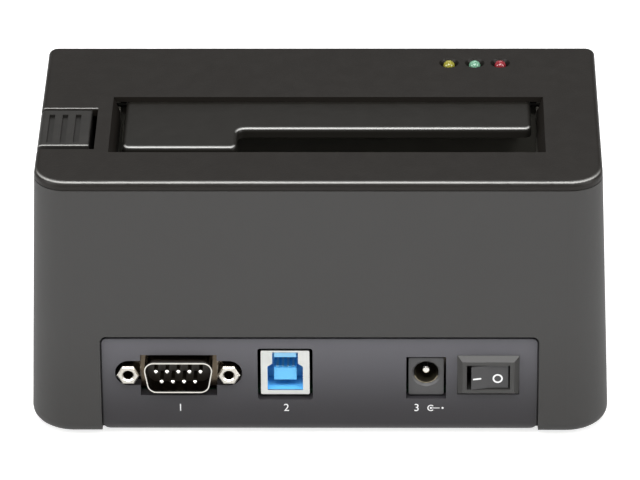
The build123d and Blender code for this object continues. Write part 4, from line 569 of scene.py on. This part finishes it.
def sweepOutline(shape, points, axis, start, sweep, steps):
    # turns a closed outline round an axis through the origin, a full turn is welded and an arc gets ends
    corners = [shape.verts.new(point) for point in points]
    count = len(corners)
    outline = [shape.edges.new((corners[i], corners[(i + 1) % count])) for i in range(count)]
    middle = (0, 0, 0)
    turn = Matrix.Rotation(math.radians(start), 3, axis)
    bmesh.ops.rotate(shape, verts=corners, cent=middle, matrix=turn)
    bmesh.ops.spin(
        shape, geom=corners + outline, cent=middle, axis=axis, angle=math.radians(sweep), steps=steps,
        use_merge=sweep == 360,
    )
    if sweep == 360:
        bmesh.ops.remove_doubles(shape, verts=shape.verts, dist=weldGap)
    else:
        bmesh.ops.holes_fill(shape, edges=shape.edges, sides=count)


def ringSection(radius, line, thickness):
    # outline of a flat printed ring's line, on the side where X is positive
    inner, outer, half = radius - line / 2, radius + line / 2, thickness / 2
    return (inner, 0, -half), (outer, 0, -half), (outer, 0, half), (inner, 0, half)


# marks printed on the port panel and on the rocker
printLayer = {"thickness": 0.02, "proud": 0.012}


def panelPlace(x, z):
    # a flat mark drawn in X and Y is stood up on the panel's leaning face
    turn = Matrix.Rotation(math.radians(90) - leanAngle, 4, "X")
    return Matrix.Translation((x * mm, (rearFaceY(z) - printLayer["proud"]) * mm, z * mm)) @ turn


labels = {"words": (("1", -34.6), ("2", -8.2), ("3", 24.2)), "z": 8.05, "size": 2.9}


def printedNumbers():
    for word, x in labels["words"]:
        curve = bpy.data.curves.new("number", "FONT")
        curve.body = word
        curve.size = labels["size"] * mm
        curve.extrude = printLayer["thickness"] / 2 * mm
        curve.align_x = "CENTER"
        curve.align_y = "CENTER"
        text = addObject("number", curve)
        bpy.context.view_layer.update()
        mesh = bpy.data.meshes.new_from_object(text)
        bpy.data.objects.remove(text)
        mesh.transform(panelPlace(x, labels["z"]))
        finishPiece("portNumber" + word, mesh, paint["print"], "dock")


polarity = {
    "x": 27.75, "ringRadius": 0.75, "ringLine": 0.24, "opening": 84, "ringSteps": 40, "dot": 0.27,
    "dotSides": 24, "reach": 2.9, "gap": 0.45, "line": 0.18, "lineShare": 0.9,
}


def polarityMark():
    # ring open to the right, a dot in its middle and a line to the outer dot
    shape = bmesh.new()
    thickness = printLayer["thickness"]
    section = ringSection(polarity["ringRadius"], polarity["ringLine"], thickness)
    opening = polarity["opening"]
    sweepOutline(shape, section, Vector((0, 0, 1)), opening / 2, 360 - opening, polarity["ringSteps"])
    for x in (0.0, polarity["reach"]):
        bmesh.ops.create_cone(
            shape, cap_ends=True, segments=polarity["dotSides"], radius1=polarity["dot"],
            radius2=polarity["dot"], depth=thickness, matrix=Matrix.Translation((x, 0, 0)),
        )
    length = polarity["reach"] - polarity["dot"] - polarity["gap"]
    # the line is thinner than the dots, so their faces don't fall together
    addBlock(shape, (length, polarity["line"], thickness * polarity["lineShare"]), (length / 2, 0, 0))
    mesh = meshFrom("polarityMark", shape)
    mesh.transform(panelPlace(polarity["x"], labels["z"]))
    finishPiece("polarityMark", mesh, paint["print"], "dock")


# the rocker's two faces meet in a shallow valley at its middle, and it stands tilted at rest
rocker = {"pivot": (41.95, -35.636, 17.35), "tilt": 6.0, "valley": 3.0, "thickness": 0.03, "proud": 0.02}


def rockerPlace(x, side, drop):
    # a flat mark drawn in X and Y goes onto one of the two faces
    tilt = math.radians(rocker["tilt"])
    out = rocker["valley"] + abs(x) * math.tan(tilt) + rocker["proud"]
    pivot = Matrix.Translation(Vector(rocker["pivot"]) * mm)
    face = Matrix.Translation((x * mm, -out * mm, -drop * mm))
    lean = Matrix.Rotation(-side * tilt, 4, "Z")
    stand = Matrix.Rotation(math.radians(90), 4, "X")
    return pivot @ Matrix.Rotation(tilt, 4, "Z") @ face @ lean @ stand


dash = {"x": -3.15, "drop": 0.2, "length": 2.1, "height": 0.42, "corner": 0.08, "cornerSteps": 3}


def rockerDash():
    shape = bmesh.new()
    addBlock(shape, (dash["length"], dash["height"], rocker["thickness"]), (0, 0, 0))
    upright = [e for e in shape.edges if abs(e.verts[0].co.z - e.verts[1].co.z) > rocker["thickness"] / 2]
    bmesh.ops.bevel(
        shape, geom=upright, offset=dash["corner"], segments=dash["cornerSteps"], profile=0.5,
        affect="EDGES", material=-1,
    )
    mesh = meshFrom("rockerDash", shape)
    mesh.transform(rockerPlace(dash["x"], -1, dash["drop"]))
    finishPiece("rockerDash", mesh, paint["print"], "rocker")


ring = {"x": 2.0, "drop": 0.42, "radius": 1.06, "line": 0.42, "steps": 40}


def rockerRing():
    shape = bmesh.new()
    section = ringSection(ring["radius"], ring["line"], rocker["thickness"])
    sweepOutline(shape, section, Vector((0, 0, 1)), 0, 360, ring["steps"])
    mesh = meshFrom("rockerRing", shape)
    mesh.transform(rockerPlace(ring["x"], 1, ring["drop"]))
    finishPiece("rockerRing", mesh, paint["print"], "rocker")


# details inside the ports
socketLip = {"size": (5.5, 1.45, 1.42), "place": (-8.45, -35.975, 22.56), "edge": 0.12, "edgeSteps": 2}


def dataSocketLip():
    # front end of the socket's upper tongue
    shape = bmesh.new()
    addBlock(shape, socketLip["size"], socketLip["place"])
    bmesh.ops.bevel(
        shape, geom=list(shape.edges), offset=socketLip["edge"], segments=socketLip["edgeSteps"],
        profile=0.5, affect="EDGES", material=-1,
    )
    finishPiece("dataSocketLip", meshFrom("dataSocketLip", shape), paint["usbBlue"], "dock")


leaf = {
    "x": 26.55, "z": 17.35, "front": -36.2, "back": -28.0, "inner": 2.9, "outer": 3.05, "start": 20,
    "sweep": 140, "steps": 28,
}


def powerLeaf():
    # curved contact along the bottom of the power inlet's hole
    shape = bmesh.new()
    section = (
        (leaf["inner"], leaf["front"], 0), (leaf["outer"], leaf["front"], 0),
        (leaf["outer"], leaf["back"], 0), (leaf["inner"], leaf["back"], 0),
    )
    sweepOutline(shape, section, Vector((0, 1, 0)), leaf["start"], leaf["sweep"], leaf["steps"])
    bmesh.ops.translate(shape, verts=shape.verts, vec=(leaf["x"], 0, leaf["z"]))
    finishPiece("powerLeaf", meshFrom("powerLeaf", shape), paint["leafMetal"], "dock")


printedNumbers()
polarityMark()
rockerDash()
rockerRing()
dataSocketLip()
powerLeaf()
print("printed marks and port details made")

# floor, light and camera
studio = {
    "floor": (0.60, 0.60, 0.60), "floorLighter": (0.62, 0.62, 0.62), "floorSize": 9000.0, "floorGlow": 0.75,
    "floorGrain": 2.0, "floorRough": 0.9, "floorShine": 0.2, "glossyShare": 0.5, "ambient": 0.20,
    "seen": 1.0, "white": (1.0, 1.0, 1.0),
}


def studioFloor():
    # pale paper that glows for the camera, and at half strength in reflections
    shape = bmesh.new()
    bmesh.ops.create_grid(shape, x_segments=1, y_segments=1, size=studio["floorSize"] / 2)
    floor = addObject("studioFloor", meshFrom("studioFloor", shape))
    material, tree, shader, surface = newMaterial("studioPaper")
    grain = placeGroup(tree, grainGroup, {"Vector": surface["Object"], "Grain Size": studio["floorGrain"]})
    base = mixColour(tree, grain["Drift"], studio["floor"], studio["floorLighter"])
    path = tree.nodes.new("ShaderNodeLightPath")
    glossy = mathNode(tree, "MULTIPLY", path.outputs["Is Glossy Ray"], studio["glossyShare"])
    seen = mathNode(tree, "ADD", path.outputs["Is Camera Ray"], glossy)
    glow = mathNode(tree, "MULTIPLY", seen, studio["floorGlow"])
    wire(tree, shader, {"Base Color": base, "Roughness": studio["floorRough"]})
    wire(tree, shader, {"Specular IOR Level": studio["floorShine"]})
    wire(tree, shader, {"Emission Color": studio["white"], "Emission Strength": glow})
    floor.data.materials.append(material)


def studioWorld():
    # white to the camera, dimmer as a light on the scene
    world = bpy.data.worlds.new("studioWorld")
    bpy.context.scene.world = world
    world.use_nodes = True
    tree = world.node_tree
    path = tree.nodes.new("ShaderNodeLightPath")
    extra = mathNode(tree, "MULTIPLY", path.outputs["Is Camera Ray"], studio["seen"] - studio["ambient"])
    level = mathNode(tree, "ADD", extra, studio["ambient"])
    wire(tree, tree.nodes["Background"], {"Strength": level, "Color": studio["white"]})


# places and sizes of the soft lights in metres, powers in watts, all aimed at one point
lightAim = Vector((0.0, 0.0, 0.03))
softboxes = {
    "overheadFront": {"place": (0.0, -0.75, 1.55), "size": (1.3, 0.8), "power": 26.0},
    "leftSide": {"place": (-1.5, -0.7, 0.8), "size": (0.9, 1.1), "power": 17.0},
    "rightSide": {"place": (1.5, -0.7, 0.8), "size": (0.9, 1.1), "power": 17.0},
    "backTop": {"place": (0.0, 1.3, 1.9), "size": (1.6, 0.7), "power": 10.0},
}


def studioLights():
    for name, box in softboxes.items():
        data = bpy.data.lights.new(name, "AREA")
        data.shape = "RECTANGLE"
        data.size, data.size_y = box["size"]
        data.energy = box["power"]
        light = addObject(name, data)
        light.location = box["place"]
        light.rotation_euler = (lightAim - Vector(box["place"])).to_track_quat("-Z", "Y").to_euler()


# the photo's viewpoint, solved from its own measured points; angles in degrees
view = {
    "target": (0.0, 0.0, 35.5), "distance": 1300.3, "azimuth": 0.99, "elevation": 29.02, "roll": -0.46,
    "lens": 289.25, "sensor": 36.0, "aimRight": -0.17, "aimUp": -0.65,
    "nearest": 10.0,
}


def photoCamera():
    azimuth, elevation, roll = (math.radians(view[key]) for key in ("azimuth", "elevation", "roll"))
    flat = math.cos(elevation)
    back = Vector((math.sin(azimuth) * flat, -math.cos(azimuth) * flat, math.sin(elevation)))
    right = Vector((0, 0, 1)).cross(back).normalized()
    up = back.cross(right)
    right, up = right * math.cos(roll) + up * math.sin(roll), up * math.cos(roll) - right * math.sin(roll)
    aim = (Vector(view["target"]) + right * view["aimRight"] + up * view["aimUp"]) * mm
    data = bpy.data.cameras.new("photoCamera")
    data.lens = view["lens"]
    data.sensor_width = view["sensor"]
    data.clip_start = view["nearest"] * mm
    camera = addObject("photoCamera", data)
    turn = Matrix((right, up, back)).transposed().to_4x4()
    camera.matrix_world = Matrix.Translation(aim + back * view["distance"] * mm) @ turn
    bpy.context.scene.camera = camera


studioFloor()
studioWorld()
studioLights()
photoCamera()
bpy.context.scene.view_settings.view_transform = "Standard"
print("studio ready")
